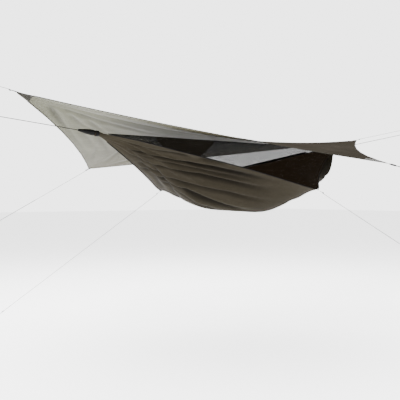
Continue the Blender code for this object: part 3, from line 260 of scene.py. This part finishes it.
def line(name, node, hole, knot_side, depth, reach, doubled, length, on_it=()):
    """A line knotted behind its hole, single at first and then doubled back from its eye."""
    face = knot_side * depth / 2
    route = [hole @ Vector((0, 0, face + knot_side * off)) for off, _ in LINE_KNOT]
    knot = [radius for _, radius in LINE_KNOT]
    bend = [hole @ Vector((out, 0, -face - knot_side * off)) for out, off in LINE_BEND]
    route += smooth_route(bend, CURVE_STEPS)
    begin, offset = LINE_BEND[-1]
    base = hole @ Matrix.Translation((0, 0, -face - knot_side * offset))
    split, join = reach - doubled, reach - LINE_EYE_LENGTH
    single_end = split - LINE_EYE_LENGTH
    single = spread(begin, single_end, max(1, round((single_end - begin) / LINE_STEP)))
    route += [base @ Vector((out, 0, 0)) for out in single[1:]]
    strand = spread(split, join, max(1, round((join - split) / LINE_STEP)))
    route += [base @ Vector((out, -STRAND_OFFSET, 0)) for out in strand[:-1]]
    eye = [base @ Vector((reach - back, off, 0)) for back, off in LINE_EYE]
    route += smooth_route(eye, CURVE_STEPS)
    route += [base @ Vector((out, STRAND_OFFSET, 0)) for out in reversed(strand[:-1])]
    cord = cord_curve(name, route, LINE_DIAMETER / 2)
    return declare(cord, route, node, LINE_DIAMETER, on_it, knot)


def tab_hole(corner, parts, lift, reach=TAB_HOLE_REACH):
    place = Vector(corner) + Vector((0, 0, lift))
    return frame_of(place, heading(parts), (0, 0, 1)) @ Matrix.Translation((reach, 0, 0))


def make_cords():
    places = spread(-HALF, HALF, round(2 * HALF / LINE_STEP))
    route = [Vector((along, 0, 0)) for along in places]
    cord = cord_curve("ridge_cord", route, RIDGELINE_DIAMETER / 2)
    made = [declare(cord, route, "ridgeline", RIDGELINE_DIAMETER)]
    for side, measures in ROPES.items():
        made.append(suspension(side, *measures))
    for side, (parts, reach, doubled, length) in END_LINES.items():
        hole = tab_hole(FLY_CORNERS[side], parts, TAB_LIFT)
        made.append(
            line(f"end_line_{side}", f"fly_line_{side}", hole, -1, TAB_THICKNESS, reach, doubled,
                 length)
        )
    for name, (corner, parts, lift, depth, hole_reach, *measures) in GUYS.items():
        hole = tab_hole(corner, parts, lift, hole_reach)
        made.append(line(name + "_cord", name, hole, 1, depth, *measures, (name + "_runner",)))
    return made


cords = make_cords()


# Materials

# The sockets of a Mix node for colours
MIX_SHARE, MIX_FIRST, MIX_SECOND, MIX_RESULT = 0, 6, 7, 2

# Bumps: (height, strength)
WEAVE_BUMP = (0.0002, 0.25)
BRAID_BUMP = (0.0004, 0.8)
GRAIN_BUMP = (0.0001, 0.4)
BRUSH_BUMP = (0.0001, 0.3)
WRINKLE_STRENGTH = 0.6

# Noises: (scale, detail, stretch)
WRINKLE_NOISE = (9, 5, (1, 2.2, 2.2))
MOULDED_NOISE = (60, 3, (1, 1, 1))
BRUSHED_NOISE = (90, 4, (1, 1, 14))

PATCH_DETAIL = 4
GRAIN_DETAIL = 3
FLY_PATCH_SCALE = 2.0
NET_WAVE_SCALE = 300
NET_THREAD_START = 0.4
BRAID_TURN = 0.7
BRAID_RAMP = (0.1, 0.6)
MOULDED_LOW_SHARE = 0.7
BRUSHED_ROUGH_SPREAD = (-0.08, 0.12)
# The mesh attribute that holds the painted shade of the folds' valleys
FOLD_SHADE = "fold_shade"


def shader(name, base, rough, metallic=0.0, gloss=0.5):
    made = bpy.data.materials.new(name)
    made.use_nodes = True
    bsdf = made.node_tree.nodes["Principled BSDF"]
    bsdf.inputs["Base Color"].default_value = (*base, 1)
    bsdf.inputs["Roughness"].default_value = rough
    bsdf.inputs["Metallic"].default_value = metallic
    bsdf.inputs["Specular IOR Level"].default_value = gloss
    return made, made.node_tree, bsdf


def glow(bsdf, colour, strength):
    bsdf.inputs["Emission Color"].default_value = (*colour, 1)
    bsdf.inputs["Emission Strength"].default_value = strength


def place_on(tree, kind="Object"):
    """The place on the piece, or the direction in the world, that a pattern follows."""
    return tree.nodes.new("ShaderNodeTexCoord").outputs[kind]


def along_axis(tree, place, axis):
    split = tree.nodes.new("ShaderNodeSeparateXYZ")
    tree.links.new(place, split.inputs["Vector"])
    return split.outputs[axis]


def noise(tree, scale, detail, stretch=(1, 1, 1)):
    mapping = tree.nodes.new("ShaderNodeMapping")
    mapping.inputs["Scale"].default_value = stretch
    texture = tree.nodes.new("ShaderNodeTexNoise")
    texture.inputs["Scale"].default_value = scale
    texture.inputs["Detail"].default_value = detail
    tree.links.new(place_on(tree), mapping.inputs["Vector"])
    tree.links.new(mapping.outputs["Vector"], texture.inputs["Vector"])
    return texture.outputs["Fac"]


def wave(tree, axis, scale):
    texture = tree.nodes.new("ShaderNodeTexWave")
    texture.bands_direction = axis
    texture.inputs["Scale"].default_value = scale
    tree.links.new(place_on(tree), texture.inputs["Vector"])
    return texture.outputs["Fac"]


def ramp(tree, factor, low, high, low_place=0.3, high_place=0.7):
    node = tree.nodes.new("ShaderNodeValToRGB")
    node.color_ramp.elements[0].position = low_place
    node.color_ramp.elements[1].position = high_place
    node.color_ramp.elements[0].color = (*low, 1)
    node.color_ramp.elements[1].color = (*high, 1)
    tree.links.new(factor, node.inputs["Fac"])
    return node.outputs["Color"]


def map_range(tree, value, start, end, low=0.0, high=1.0, kind="LINEAR"):
    """The value carried from the range start to end over to the range low to high."""
    node = tree.nodes.new("ShaderNodeMapRange")
    node.interpolation_type = kind
    ends = {"From Min": start, "From Max": end, "To Min": low, "To Max": high}
    for socket, number in ends.items():
        node.inputs[socket].default_value = number
    tree.links.new(value, node.inputs["Value"])
    return node.outputs["Result"]


def mixed(tree, share, first, second):
    """The first colour turning into the second, which may be a plain one."""
    node = tree.nodes.new("ShaderNodeMix")
    node.data_type = "RGBA"
    tree.links.new(share, node.inputs[MIX_SHARE])
    tree.links.new(first, node.inputs[MIX_FIRST])
    if isinstance(second, tuple):
        node.inputs[MIX_SECOND].default_value = (*second, 1)
    else:
        tree.links.new(second, node.inputs[MIX_SECOND])
    return node.outputs[MIX_RESULT]


def math_node(tree, kind, first, second):
    node = tree.nodes.new("ShaderNodeMath")
    node.operation = kind
    for socket, value in zip(node.inputs, (first, second)):
        tree.links.new(value, socket)
    return node.outputs["Value"]


def bump(tree, bsdf, height, distance, strength, after=None):
    node = tree.nodes.new("ShaderNodeBump")
    node.inputs["Distance"].default_value = distance
    node.inputs["Strength"].default_value = strength
    tree.links.new(height, node.inputs["Height"])
    if after is not None:
        tree.links.new(after, node.inputs["Normal"])
    tree.links.new(node.outputs["Normal"], bsdf.inputs["Normal"])
    return node.outputs["Normal"]


def woven(name, low, high, rough, patch_scale, weave_scale, gloss=0.08, wrinkle=0.0):
    """Cloth with slow changes of shade, a fine weave and small wrinkles."""
    made, tree, bsdf = shader(name, high, rough, gloss=gloss)
    colour = ramp(tree, noise(tree, patch_scale, PATCH_DETAIL), low, high)
    tree.links.new(colour, bsdf.inputs["Base Color"])
    threads = math_node(tree, "ADD", wave(tree, "X", weave_scale), wave(tree, "Z", weave_scale))
    last = bump(tree, bsdf, threads, *WEAVE_BUMP)
    if wrinkle:
        bump(tree, bsdf, noise(tree, *WRINKLE_NOISE), wrinkle, WRINKLE_STRENGTH, last)
    return made


def painted_glow(made, light):
    """The cloth with a painted glow that stands for the daylight coming through its thin weave."""
    glow(made.node_tree.nodes["Principled BSDF"], light, 1.0)
    return made


def netting(name, base, thread, hole):
    """Fine mosquito mesh: see-through, with the threads as a fine grid."""
    made, tree, bsdf = shader(name, base, 0.9, gloss=0.05)
    waves = (wave(tree, axis, NET_WAVE_SCALE) for axis in "XZ")
    threads = math_node(tree, "MAXIMUM", *waves)
    alpha = map_range(tree, threads, NET_THREAD_START, 1.0, hole, thread)
    tree.links.new(alpha, bsdf.inputs["Alpha"])
    return made


def braided(name, low, high, rough, scale):
    """A braid's crossing strands, as bands both ways."""
    made, tree, bsdf = shader(name, high, rough, gloss=0.1)
    heights = []
    for turn in (BRAID_TURN, -BRAID_TURN):
        mapping = tree.nodes.new("ShaderNodeMapping")
        mapping.inputs["Rotation"].default_value = (turn, turn, turn)
        texture = tree.nodes.new("ShaderNodeTexWave")
        texture.inputs["Scale"].default_value = scale
        tree.links.new(place_on(tree), mapping.inputs["Vector"])
        tree.links.new(mapping.outputs["Vector"], texture.inputs["Vector"])
        heights.append(texture.outputs["Fac"])
    both = math_node(tree, "MULTIPLY", *heights)
    tree.links.new(ramp(tree, both, low, high, *BRAID_RAMP), bsdf.inputs["Base Color"])
    bump(tree, bsdf, both, *BRAID_BUMP)
    return made


def moulded(name, base, rough, grain):
    """Moulded plastic, a little mottled, with a fine grain."""
    made, tree, bsdf = shader(name, base, rough, gloss=0.3)
    fine = noise(tree, grain, GRAIN_DETAIL)
    low = tuple(MOULDED_LOW_SHARE * c for c in base)
    colour = ramp(tree, noise(tree, *MOULDED_NOISE), low, base)
    tree.links.new(colour, bsdf.inputs["Base Color"])
    bump(tree, bsdf, fine, *GRAIN_BUMP)
    return made


def brushed(name, base, rough):
    """Metal with fine streaks along one way."""
    made, tree, bsdf = shader(name, base, rough, metallic=1.0)
    streaks = noise(tree, *BRUSHED_NOISE)
    low, high = (rough + change for change in BRUSHED_ROUGH_SPREAD)
    tree.links.new(map_range(tree, streaks, 0.0, 1.0, low, high), bsdf.inputs["Roughness"])
    bump(tree, bsdf, streaks, *BRUSH_BUMP)
    return made


def painted_light_gradient(name, low, high, rough, weave_scale, start, end, far_low, far_high):
    """Cloth whose colour turns slowly from one end of the fly to the other: painted light, lighter at the
    end where daylight shines through the fly.
    """
    made = woven(name, low, high, rough, FLY_PATCH_SCALE, weave_scale, 0.12, 0.004)
    tree = made.node_tree
    colour = tree.nodes["Principled BSDF"].inputs["Base Color"]
    first = colour.links[0].from_socket
    second = ramp(tree, noise(tree, FLY_PATCH_SCALE, PATCH_DETAIL), far_low, far_high)
    share = map_range(tree, along_axis(tree, place_on(tree), "X"), start, end, kind="SMOOTHSTEP")
    tree.links.new(mixed(tree, share, first, second), colour)
    return made


def painted_fold_shade(made, dark):
    """Cloth with painted shade in the valleys of its folds."""
    tree = made.node_tree
    colour = tree.nodes["Principled BSDF"].inputs["Base Color"]
    valley = tree.nodes.new("ShaderNodeAttribute")
    valley.attribute_name = FOLD_SHADE
    plain = colour.links[0].from_socket
    tree.links.new(mixed(tree, valley.outputs["Fac"], plain, dark), colour)
    return made


# The fly's underside: a copy of the fly's cloth made lighter as painted light for the daylight shining
# through it, lightest at the left end and darker from the middle to the right end. Painted shade darkens
# the valleys of its wrinkles.
UNDERSIDE = painted_fold_shade(
    painted_light_gradient("fly_underside_look", (0.060, 0.059, 0.038), (0.086, 0.086, 0.062), 0.55, 420,
             0.50, 2.1, (0.024, 0.0195, 0.0085), (0.036, 0.0300, 0.0150)),
    (0.022, 0.0205, 0.0130),
)
INNER_CLOTH = ((0.0180, 0.0150, 0.0105), (0.0290, 0.0245, 0.0180))
# The lining and the pocket glow faintly: painted light for the daylight that comes through the cloth.
LINING = painted_glow(woven("bed_lining_look", *INNER_CLOTH, 0.8, 3, 420, 0.03, 0.004),
                     (0.036, 0.024, 0.014))
POCKET = painted_glow(woven("pocket_look", *INNER_CLOTH, 0.75, 4, 420), (0.036, 0.031, 0.024))
LOOKS = {
    "fly_cloth": woven("fly_look", (0.0108, 0.0093, 0.0072), (0.0172, 0.0150, 0.0119), 0.8, 2.0,
                       420, 0.0, 0.004),
    "fly_tape": woven("tape_look", (0.014, 0.013, 0.010), (0.022, 0.0205, 0.0155), 0.65, 8,
                      300),
    # The bed's cloth gets painted shade, nearly black, in the valleys of its creases
    "bed_cloth": painted_fold_shade(
        woven("bed_look", (0.0130, 0.0108, 0.0069), (0.0215, 0.0183, 0.0123), 0.75, 1.6, 420,
              0.03, 0.006),
        (0.0028, 0.0022, 0.0014),
    ),
    "net": netting("net_look", (0.0022, 0.0018, 0.0014), 0.62, 0.20),
    "black_webbing": woven("webbing_look", (0.002, 0.002, 0.002), (0.0045, 0.0043, 0.0042),
                           0.75, 14, 160),
    "cord": braided("cord_look", (0.003, 0.003, 0.003), (0.012, 0.011, 0.011), 0.7, 140),
    "black_plastic": moulded("plastic_look", (0.006, 0.006, 0.006), 0.38, 900),
    "aluminium": brushed("ring_look", (0.72, 0.72, 0.74), 0.32),
}
SLOTS = {row["node"]: row["material_slot"] for row in frame["record"]["subparts"]}


def dress(piece, slot):
    piece.data.materials.clear()
    piece.data.materials.append(LOOKS[slot])


for cord in cords + knots:
    dress(cord, "cord" if cord.name != "ridge_cord" else "black_webbing")
for name, node in frame["nodes"].items():
    dress(node, SLOTS[name])


# Cloth pieces, each a finer sheet over its CAD solid

JOIN_GAP = 0.00002
SPLIT_ROUNDS = 7


def cad_mesh(node):
    """The CAD sheet as a mesh to edit, its doubled points joined."""
    mesh = bmesh.new()
    mesh.from_mesh(frame["nodes"][node].data)
    bmesh.ops.remove_doubles(mesh, verts=mesh.verts, dist=JOIN_GAP)
    return mesh


def new_piece(name, mesh):
    data = bpy.data.meshes.new(name)
    mesh.to_mesh(data)
    mesh.free()
    return linked(name, data)


def join_quads(mesh, face_turn, shape_turn):
    bmesh.ops.join_triangles(
        mesh, faces=mesh.faces, angle_face_threshold=face_turn, angle_shape_threshold=shape_turn
    )


def applied(piece, kind, **values):
    """The piece with this modifier's result as its mesh."""
    modifier = piece.modifiers.new("applied", kind)
    for key, value in values.items():
        setattr(modifier, key, value)
    bpy.context.view_layer.update()
    graph = bpy.context.evaluated_depsgraph_get()
    final = bpy.data.meshes.new_from_object(piece.evaluated_get(graph))
    piece.modifiers.clear()
    piece.data = final
    final.name = piece.name
    final.shade_smooth()
    return piece


def copied(name, node, largest):
    """The CAD sheet as a new mesh, its facets split until no edge is longer than largest."""
    mesh = cad_mesh(node)
    for _ in range(SPLIT_ROUNDS):
        long = [e for e in mesh.edges if e.calc_length() > largest]
        if not long:
            break
        bmesh.ops.subdivide_edges(mesh, edges=long, cuts=1)
        bmesh.ops.triangulate(mesh, faces=[f for f in mesh.faces if len(f.verts) > 3])
    piece = new_piece(name, mesh)
    piece.data.shade_smooth()
    return piece


def rounded(name, node, levels):
    """The CAD sheet as a new mesh of quads, smoothed by subdivision."""
    mesh = cad_mesh(node)
    join_quads(mesh, 1.0, 1.2)
    return applied(new_piece(name, mesh), "SUBSURF", levels=levels, render_levels=levels)


def points_of(piece):
    points = np.zeros(len(piece.data.vertices) * 3)
    piece.data.vertices.foreach_get("co", points)
    return points.reshape(-1, 3)


def set_points(piece, points):
    piece.data.vertices.foreach_set("co", np.asarray(points, np.float32).ravel())
    piece.data.update()


def smoothstep(values):
    values = np.clip(values, 0, 1)
    return values * values * (3 - 2 * values)


def shade_folds(piece, values):
    """Write how much painted shade each point gets in a fold's valley, for the cloth's material."""
    valleys = piece.data.attributes.new(FOLD_SHADE, "FLOAT", "POINT")
    valleys.data.foreach_set("value", values)


def line_underside(piece, look):
    """Give the faces that look down another material."""
    piece.data.materials.append(look)
    for face in piece.data.polygons:
        if face.normal.z < 0:
            face.material_index = 1


def finish_piece(piece, node, body):
    dress(piece, SLOTS[node])
    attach(piece, body)
    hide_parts(node)
    return piece


# The fly. Every piece of it is split finely, and the panels get the cloth's wrinkles, which
# fade out at the seam, the hems and the corner patches.

FLY_CELL = 0.022
HEM_FLAT, HEM_FADE = 0.013, 0.050
SEAM_FLAT, SEAM_FADE = 0.013, 0.040
CORNER_FLAT, CORNER_FADE = 0.175, 0.150
SMALLEST = 1e-12


def hem_lines():
    """The fly's hems in plan, as arrays of the starts and the ends of their short lines."""
    starts, ends = [], []
    for end in ("left", "right"):
        for side in ("near", "far"):
            points = points_of(frame["nodes"][f"fly_hem_{end}_{side}"])[:, :2]
            points = points[np.argsort(points[:, 0])]
            starts.append(points[:-1])
            ends.append(points[1:])
    return np.concatenate(starts), np.concatenate(ends)


def hem_gap(places):
    """How far each place in plan lies from the fly's hems."""
    starts, ends = hem_lines()
    ways = ends - starts
    squares = np.maximum((ways**2).sum(axis=1), SMALLEST)
    nearest = np.full(len(places), np.inf)
    for start, way, square in zip(starts, ways, squares):
        share = np.clip((places - start) @ way / square, 0, 1)
        gaps = np.linalg.norm(places - start - share[:, None] * way, axis=1)
        nearest = np.minimum(nearest, gaps)
    return nearest


# The wrinkle height that gets the full painted shade, and the share of that shade
FULL_WRINKLE, WRINKLE_SHADE_SHARE = 0.006, 0.55

# Wrinkles of the fly, which follow the pull from corner to corner: (place along, place across,
# heading in degrees, length, width, depth), about the middle of the ridgeline
WRINKLES = (
    (-1.60, 0.10, 42, 0.34, 0.020, 0.004),
    (-1.56, -0.03, -8, 0.36, 0.020, 0.004),
    (-1.42, 0.06, 12, 0.44, 0.022, 0.004),
    (-1.28, 0.22, 34, 0.46, 0.024, 0.004),
    (-1.10, 0.10, 8, 0.50, 0.024, 0.004),
    (-1.05, 0.30, 36, 0.46, 0.024, 0.004),
    (-0.90, 0.78, 70, 0.36, 0.022, 0.004),
    (-0.66, 0.90, 84, 0.40, 0.024, 0.004),
    (-1.50, 0.22, 55, 0.55, 0.030, 0.006),
    (-1.36, 0.34, 50, 0.65, 0.034, 0.006),
    (-1.18, 0.40, 48, 0.60, 0.030, 0.005),
    (-0.98, 0.50, 52, 0.60, 0.036, 0.006),
    (-0.76, 0.62, 60, 0.50, 0.036, 0.005),
    (-1.45, -0.10, -22, 0.60, 0.028, 0.005),
    (-1.15, -0.22, -26, 0.70, 0.032, 0.006),
    (-0.80, -0.35, -30, 0.65, 0.034, 0.005),
    (-0.35, -0.50, -38, 0.60, 0.036, 0.005),
    (0.10, -0.70, -48, 0.60, 0.034, 0.005),
    (0.55, -0.60, 62, 0.50, 0.032, 0.005),
    (0.90, -0.40, 50, 0.45, 0.030, 0.004),
    (0.95, 0.25, -40, 0.50, 0.030, 0.004),
    (0.40, 0.50, -52, 0.60, 0.034, 0.005),
    (-0.10, 0.75, -58, 0.60, 0.034, 0.005),
    (-0.45, 0.95, -66, 0.45, 0.030, 0.004),
)


def wrinkle_height(x, y):
    """The height of all wrinkles together over each place in plan."""
    total = np.zeros(len(x))
    for along, across, turn, length, width, depth in WRINKLES:
        c, s = math.cos(math.radians(turn)), math.sin(math.radians(turn))
        u = (x - along) * c + (y - across) * s
        v = -(x - along) * s + (y - across) * c
        shape = (1 - (v / width) ** 2) * np.exp(-0.5 * (v / width) ** 2)
        total += depth * shape * np.exp(-0.5 * (u / (length / 2)) ** 2)
    return total


def fly_lift(points):
    """How far each point of a panel rises from the CAD sheet, and how much painted shade its valleys get.
    """
    local = points - np.array(MIDDLE)
    flat = smoothstep((np.abs(local[:, 1]) - SEAM_FLAT) / SEAM_FADE)
    flat *= smoothstep((hem_gap(points[:, :2]) - HEM_FLAT) / HEM_FADE)
    for corner in FLY_CORNERS.values():
        gap = np.linalg.norm(local[:, :2] - np.array(corner[:2]), axis=1)
        flat *= smoothstep((gap - CORNER_FLAT) / CORNER_FADE)
    lift = wrinkle_height(local[:, 0], local[:, 1]) * flat
    return lift, np.clip(lift / FULL_WRINKLE, 0, 1) * WRINKLE_SHADE_SHARE


# Pieces of the fly and their nodes
FLY_PIECES = {
    "canopy_near": "fly_near_panel",
    "canopy_far": "fly_far_panel",
    "ridge_seam_tape": "fly_ridge_tape",
    "hem_left_near": "fly_hem_left_near",
    "hem_left_far": "fly_hem_left_far",
    "hem_right_near": "fly_hem_right_near",
    "hem_right_far": "fly_hem_right_far",
    "corner_patch_left": "fly_patch_left",
    "corner_patch_right": "fly_patch_right",
    "corner_patch_near": "fly_patch_near",
    "corner_patch_far": "fly_patch_far",
}


def wrinkle(panel):
    """Give a panel of the fly its wrinkles, the painted shade of their valleys and its underside."""
    points = points_of(panel)
    lift, shade = fly_lift(points)
    points[:, 2] += lift
    set_points(panel, points)
    shade_folds(panel, shade)
    line_underside(panel, UNDERSIDE)


def make_fly():
    made = {}
    for name, node in FLY_PIECES.items():
        made[name] = finish_piece(copied(name, node, FLY_CELL), node, "root")
        if name.startswith("canopy"):
            wrinkle(made[name])


make_fly()


# The bed, with the folds that fan out of its gathered ends

# The bed's main creases: their course as (along, degrees round the ridgeline), their half width
# in degrees and their depth. Near-side angles are below zero. The far side's creases are
# these after a half turn.
CREASES = (
    (((-1.15, -25), (-1.01, -38), (-0.76, -58), (-0.54, -63), (-0.20, -68)), 2.6, 0.015),
    (((-1.13, 8), (-1.02, 4), (-0.79, -27), (-0.62, -44), (-0.45, -52), (-0.22, -57),
      (0.05, -62)), 2.8, 0.025),
    (((-1.05, 20), (-0.85, -4), (-0.70, -24), (-0.50, -40), (-0.30, -48), (0.00, -56)),
     2.2, 0.015),
    (((-1.02, 31), (-0.85, 20), (-0.65, -12), (-0.47, -29), (-0.28, -38), (0.08, -52)),
     2.8, 0.022),
    (((-0.92, 42), (-0.72, 26), (-0.55, 4), (-0.38, -12), (-0.20, -24), (0.15, -38)),
     2.4, 0.017),
    (((-0.90, 50), (-0.78, 45), (-0.62, 31), (-0.46, 8), (-0.30, 2), (-0.07, -9), (0.15, -18)),
     2.8, 0.024),
    (((-0.70, 48), (-0.55, 34), (-0.40, 20), (-0.20, 10), (0.10, 0)), 2.4, 0.014),
    (((1.10, -14), (0.80, -34), (0.50, -50), (0.30, -58)), 2.8, 0.012),
    (((1.05, 4), (0.75, -16), (0.45, -34), (0.20, -42)), 3.0, 0.014),
)
CREASE_FADE = 0.16
# The painted shade in a crease's valley: SHADE_SHARE at the deepest crease, less in shallower ones
DEEPEST_CREASE = 0.025
SHADE_SHARE = 0.95

# The cloth swells beside a crease. The shares and offsets are of the crease's half width, but
# BULGE_SHARE, which is of its depth.
BULGE_SHARE = 0.55
BULGE_OFFSET, BULGE_WIDTH_SHARE = 2.0, 1.3
VALLEY_OFFSET, VALLEY_WIDTH_SHARE = 0.5, 0.9

# Fine lengthwise folds, as waves round the ridgeline: (waves, drift along it, phase, share of
# the depth)
FINE_FOLDS = ((15, 1.8, 0.0, 1.0), (27, -2.3, 1.0, 0.6), (41, 4.0, 2.0, 0.5))
FINE_FOLD_SLOPE = 0.006
FOLD_RADIUS = 0.30
FOLD_REACH, FOLD_REACH_FADE = 1.16, 0.12
FOLD_MIDDLE, FOLD_MIDDLE_FADE = 0.10, 0.75

RIM_WIDTH = 0.0015
BED_THICKNESS = 0.0012
BED_LEVELS = 3
EDGE_FLAT, EDGE_FADE = 0.02, 0.07
SMALLEST_RADIUS = 1e-4


def crease_rise(along, angle):
    """How far the creases sink the cloth towards the ridgeline, and how much painted shade their valleys
    get.
    """
    total, shade = np.zeros(len(along)), np.zeros(len(along))
    for turn in (1, -1):
        for course, width, depth in CREASES:
            course = sorted(course)
            places = [place for place, _ in course]
            centre = np.interp(turn * along, places, [round_it for _, round_it in course])
            fade = smoothstep((turn * along - places[0]) / CREASE_FADE)
            fade *= smoothstep((places[-1] - turn * along) / (2 * CREASE_FADE))
            off = (turn * np.degrees(angle) - centre) / width
            swell = np.exp(-0.5 * ((off + BULGE_OFFSET) / BULGE_WIDTH_SHARE) ** 2)
            total += depth * fade * (BULGE_SHARE * swell - np.exp(-0.5 * off**2))
            valley = np.exp(-0.5 * ((off - VALLEY_OFFSET) / VALLEY_WIDTH_SHARE) ** 2)
            dark = SHADE_SHARE * depth / DEEPEST_CREASE
            shade = np.maximum(shade, dark * fade * valley)
    return total, shade


def bed_folds(points):
    """Small folds that run lengthwise, along the rays from the ridgeline, and the creases."""
    local = points - np.array(MIDDLE)
    along = local[:, 0]
    radius = np.hypot(local[:, 1], local[:, 2])
    angle = np.arctan2(local[:, 1], -local[:, 2])
    window = smoothstep((FOLD_REACH - np.abs(along)) / FOLD_REACH_FADE)
    window *= smoothstep((np.abs(along) - FOLD_MIDDLE) / FOLD_MIDDLE_FADE)
    rays = sum(
        share * np.sin(count * angle + drift * along + phase)
        for count, drift, phase, share in FINE_FOLDS
    )
    fine = window * rays * np.minimum(radius, FOLD_RADIUS) * FINE_FOLD_SLOPE
    rise, shade = crease_rise(along, angle)
    return radius, fine + rise * np.minimum(radius / FOLD_RADIUS, 1), shade


def edge_gap(points):
    """How far each point lies from the bed's two edge tapes."""
    places = []
    for side in ("near", "far"):
        rows = points_of(frame["nodes"][f"bed_edge_tape_{side}"])
        rows = rows[np.argsort(rows[:, 0])]
        for a, b in zip(rows[:-1], rows[1:]):
            places += [a, (a + b) / 2]
    tree = KDTree(len(places))
    for k, place in enumerate(places):
        tree.insert(place, k)
    tree.balance()
    return np.array([tree.find(point)[2] for point in points])


def islands_of(mesh):
    """The groups of faces that hang together by their edges."""
    islands, left = [], set(mesh.faces)
    while left:
        island, front = set(), [left.pop()]
        while front:
            face = front.pop()
            island.add(face)
            for edge in face.edges:
                for other in edge.link_faces:
                    if other in left:
                        left.discard(other)
                        front.append(other)
        islands.append(island)
    return islands


def outer_skin(name, node):
    """The outer side of a thin CAD sheet, as quads without its rim."""
    mesh = cad_mesh(node)
    rim = [f for f in mesh.faces if min(e.calc_length() for e in f.edges) < RIM_WIDTH]
    bmesh.ops.delete(mesh, geom=rim, context="FACES")
    outer = max(islands_of(mesh), key=lambda island: sum(f.calc_area() for f in island))
    bmesh.ops.delete(mesh, geom=[f for f in mesh.faces if f not in outer], context="FACES")
    join_quads(mesh, 1.2, 1.4)
    return new_piece(name, mesh)


def fold_bed(piece):
    """Lift and sink the bed's skin along its folds, which end before the edge tapes."""
    points = points_of(piece)
    radius, rise, shade = bed_folds(points)
    local = points - np.array(MIDDLE)
    inside = smoothstep((edge_gap(points) - EDGE_FLAT) / EDGE_FADE)
    rise *= inside
    outward = local * np.array([0, 1, 1]) / np.maximum(radius, SMALLEST_RADIUS)[:, None]
    set_points(piece, points + outward * rise[:, None])
    shade_folds(piece, shade * inside)


def make_bed():
    piece = outer_skin("bed_body", "bed")
    applied(piece, "SUBSURF", levels=BED_LEVELS, render_levels=BED_LEVELS)
    fold_bed(piece)
    dress(piece, "bed_cloth")
    piece.data.materials.append(LINING)
    applied(piece, "SOLIDIFY", thickness=BED_THICKNESS, offset=-1, material_offset=1)
    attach(piece, "root")
    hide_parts("bed")
    for side in ("left", "right"):
        band = rounded(f"end_binding_{side}", f"gather_band_{side}", 1)
        finish_piece(band, f"gather_band_{side}", "root")
    for side in ("near", "far"):
        tape = rounded(f"edge_binding_{side}", f"bed_edge_tape_{side}", 1)
        finish_piece(tape, f"bed_edge_tape_{side}", "root")


make_bed()


# The net panels: (piece, node, body, flat size, area)

NET_CELL = 0.05
NET_PIECES = (
    ("mesh_near", "net_near_panel", "root", (2.39, 0.86), 1.35),
    ("mesh_door", "net_door", "door", (2.39, 0.83), 1.15),
    ("mesh_gusset_head", "net_head_gusset", "root", None, None),
    ("mesh_gusset_foot", "net_foot_gusset", "root", None, None),
)


def make_nets():
    for name, node, body, flat, area in NET_PIECES:
        piece = finish_piece(copied(name, node, NET_CELL), node, body)


make_nets()


# The pocket, the sleeves, the zip's halves and the webbing tabs

WEBBING_CELL = 0.04
WEBBING_PIECES = {
    "zip_half_bed": ("zip_tape_bed", "root"),
    "zip_half_door": ("zip_tape_door", "door"),
    "corner_tab_left": ("fly_tab_left", "root"),
    "corner_tab_right": ("fly_tab_right", "root"),
    "corner_tab_far": ("fly_tab_far", "root"),
    "corner_strap_near": ("fly_strap_near", "root"),
    "tie_out_near": ("side_tab_near", "root"),
    "tie_out_far": ("side_tab_far", "root"),
    "splice_binding_left": ("rope_whipping_left", "root"),
    "splice_binding_right": ("rope_whipping_right", "root"),
}


def make_small_cloth():
    pocket = rounded("pocket_pouch", "ridgeline_pocket", 1)
    finish_piece(pocket, "ridgeline_pocket", "pocket")
    pocket.data.materials.clear()
    pocket.data.materials.append(POCKET)
    for side in ("left", "right"):
        sleeve = rounded(f"drawn_sleeve_{side}", f"end_sleeve_{side}", 2)
        finish_piece(sleeve, f"end_sleeve_{side}", f"sleeve_{side}")
    for name, (node, body) in WEBBING_PIECES.items():
        finish_piece(copied(name, node, WEBBING_CELL), node, body)


make_small_cloth()


# Stage and light

FLOOR_DROP = 0.12
FLOOR_SIDE = 90.0
FLOOR_GLOW = 1.0
WHITE = (1, 1, 1)
WORLD_FRONT, WORLD_BACK = 1.1, 3.6
WORLD_TURN_START, WORLD_TURN_END = -0.2, 0.55

# The lamps: (place, side, power)
LAMPS = {
    "key": ((-3.0, -4.0, 4.6), 1.6, 900.0),
    "fill": ((5.5, -4.5, 1.0), 3.5, 40.0),
    "top": ((MIDDLE.x, 1.0, 3.4), 9.0, 1500.0),
}


def make_floor():
    low = cad_box[0].z - FLOOR_DROP
    h = FLOOR_SIDE / 2
    mesh = bpy.data.meshes.new("floor")
    mesh.from_pydata([(-h, -h, low), (h, -h, low), (h, h, low), (-h, h, low)], [], [(0, 1, 2, 3)])
    look, _, bsdf = shader("floor_look", (0.90, 0.90, 0.90), 0.9)
    glow(bsdf, WHITE, FLOOR_GLOW)
    mesh.materials.append(look)
    linked("floor", mesh)


def make_world():
    """White light all round, stronger from behind the hammock than from the front."""
    world = bpy.data.worlds.new("studio")
    world.use_nodes = True
    tree = world.node_tree
    background = tree.nodes["Background"]
    background.inputs["Color"].default_value = (*WHITE, 1)
    back = along_axis(tree, place_on(tree, "Generated"), "Y")
    strength = map_range(tree, back, WORLD_TURN_START, WORLD_TURN_END, WORLD_FRONT, WORLD_BACK,
                         "SMOOTHSTEP")
    tree.links.new(strength, background.inputs["Strength"])
    bpy.context.scene.world = world


def make_lamps():
    for name, (place, side, power) in LAMPS.items():
        data = bpy.data.lights.new(name, "AREA")
        data.size = side
        data.energy = power
        lamp = linked(name, data)
        lamp.location = place
        lamp.rotation_euler = (MIDDLE - Vector(place)).to_track_quat("-Z", "Y").to_euler()


make_floor()
make_world()
make_lamps()
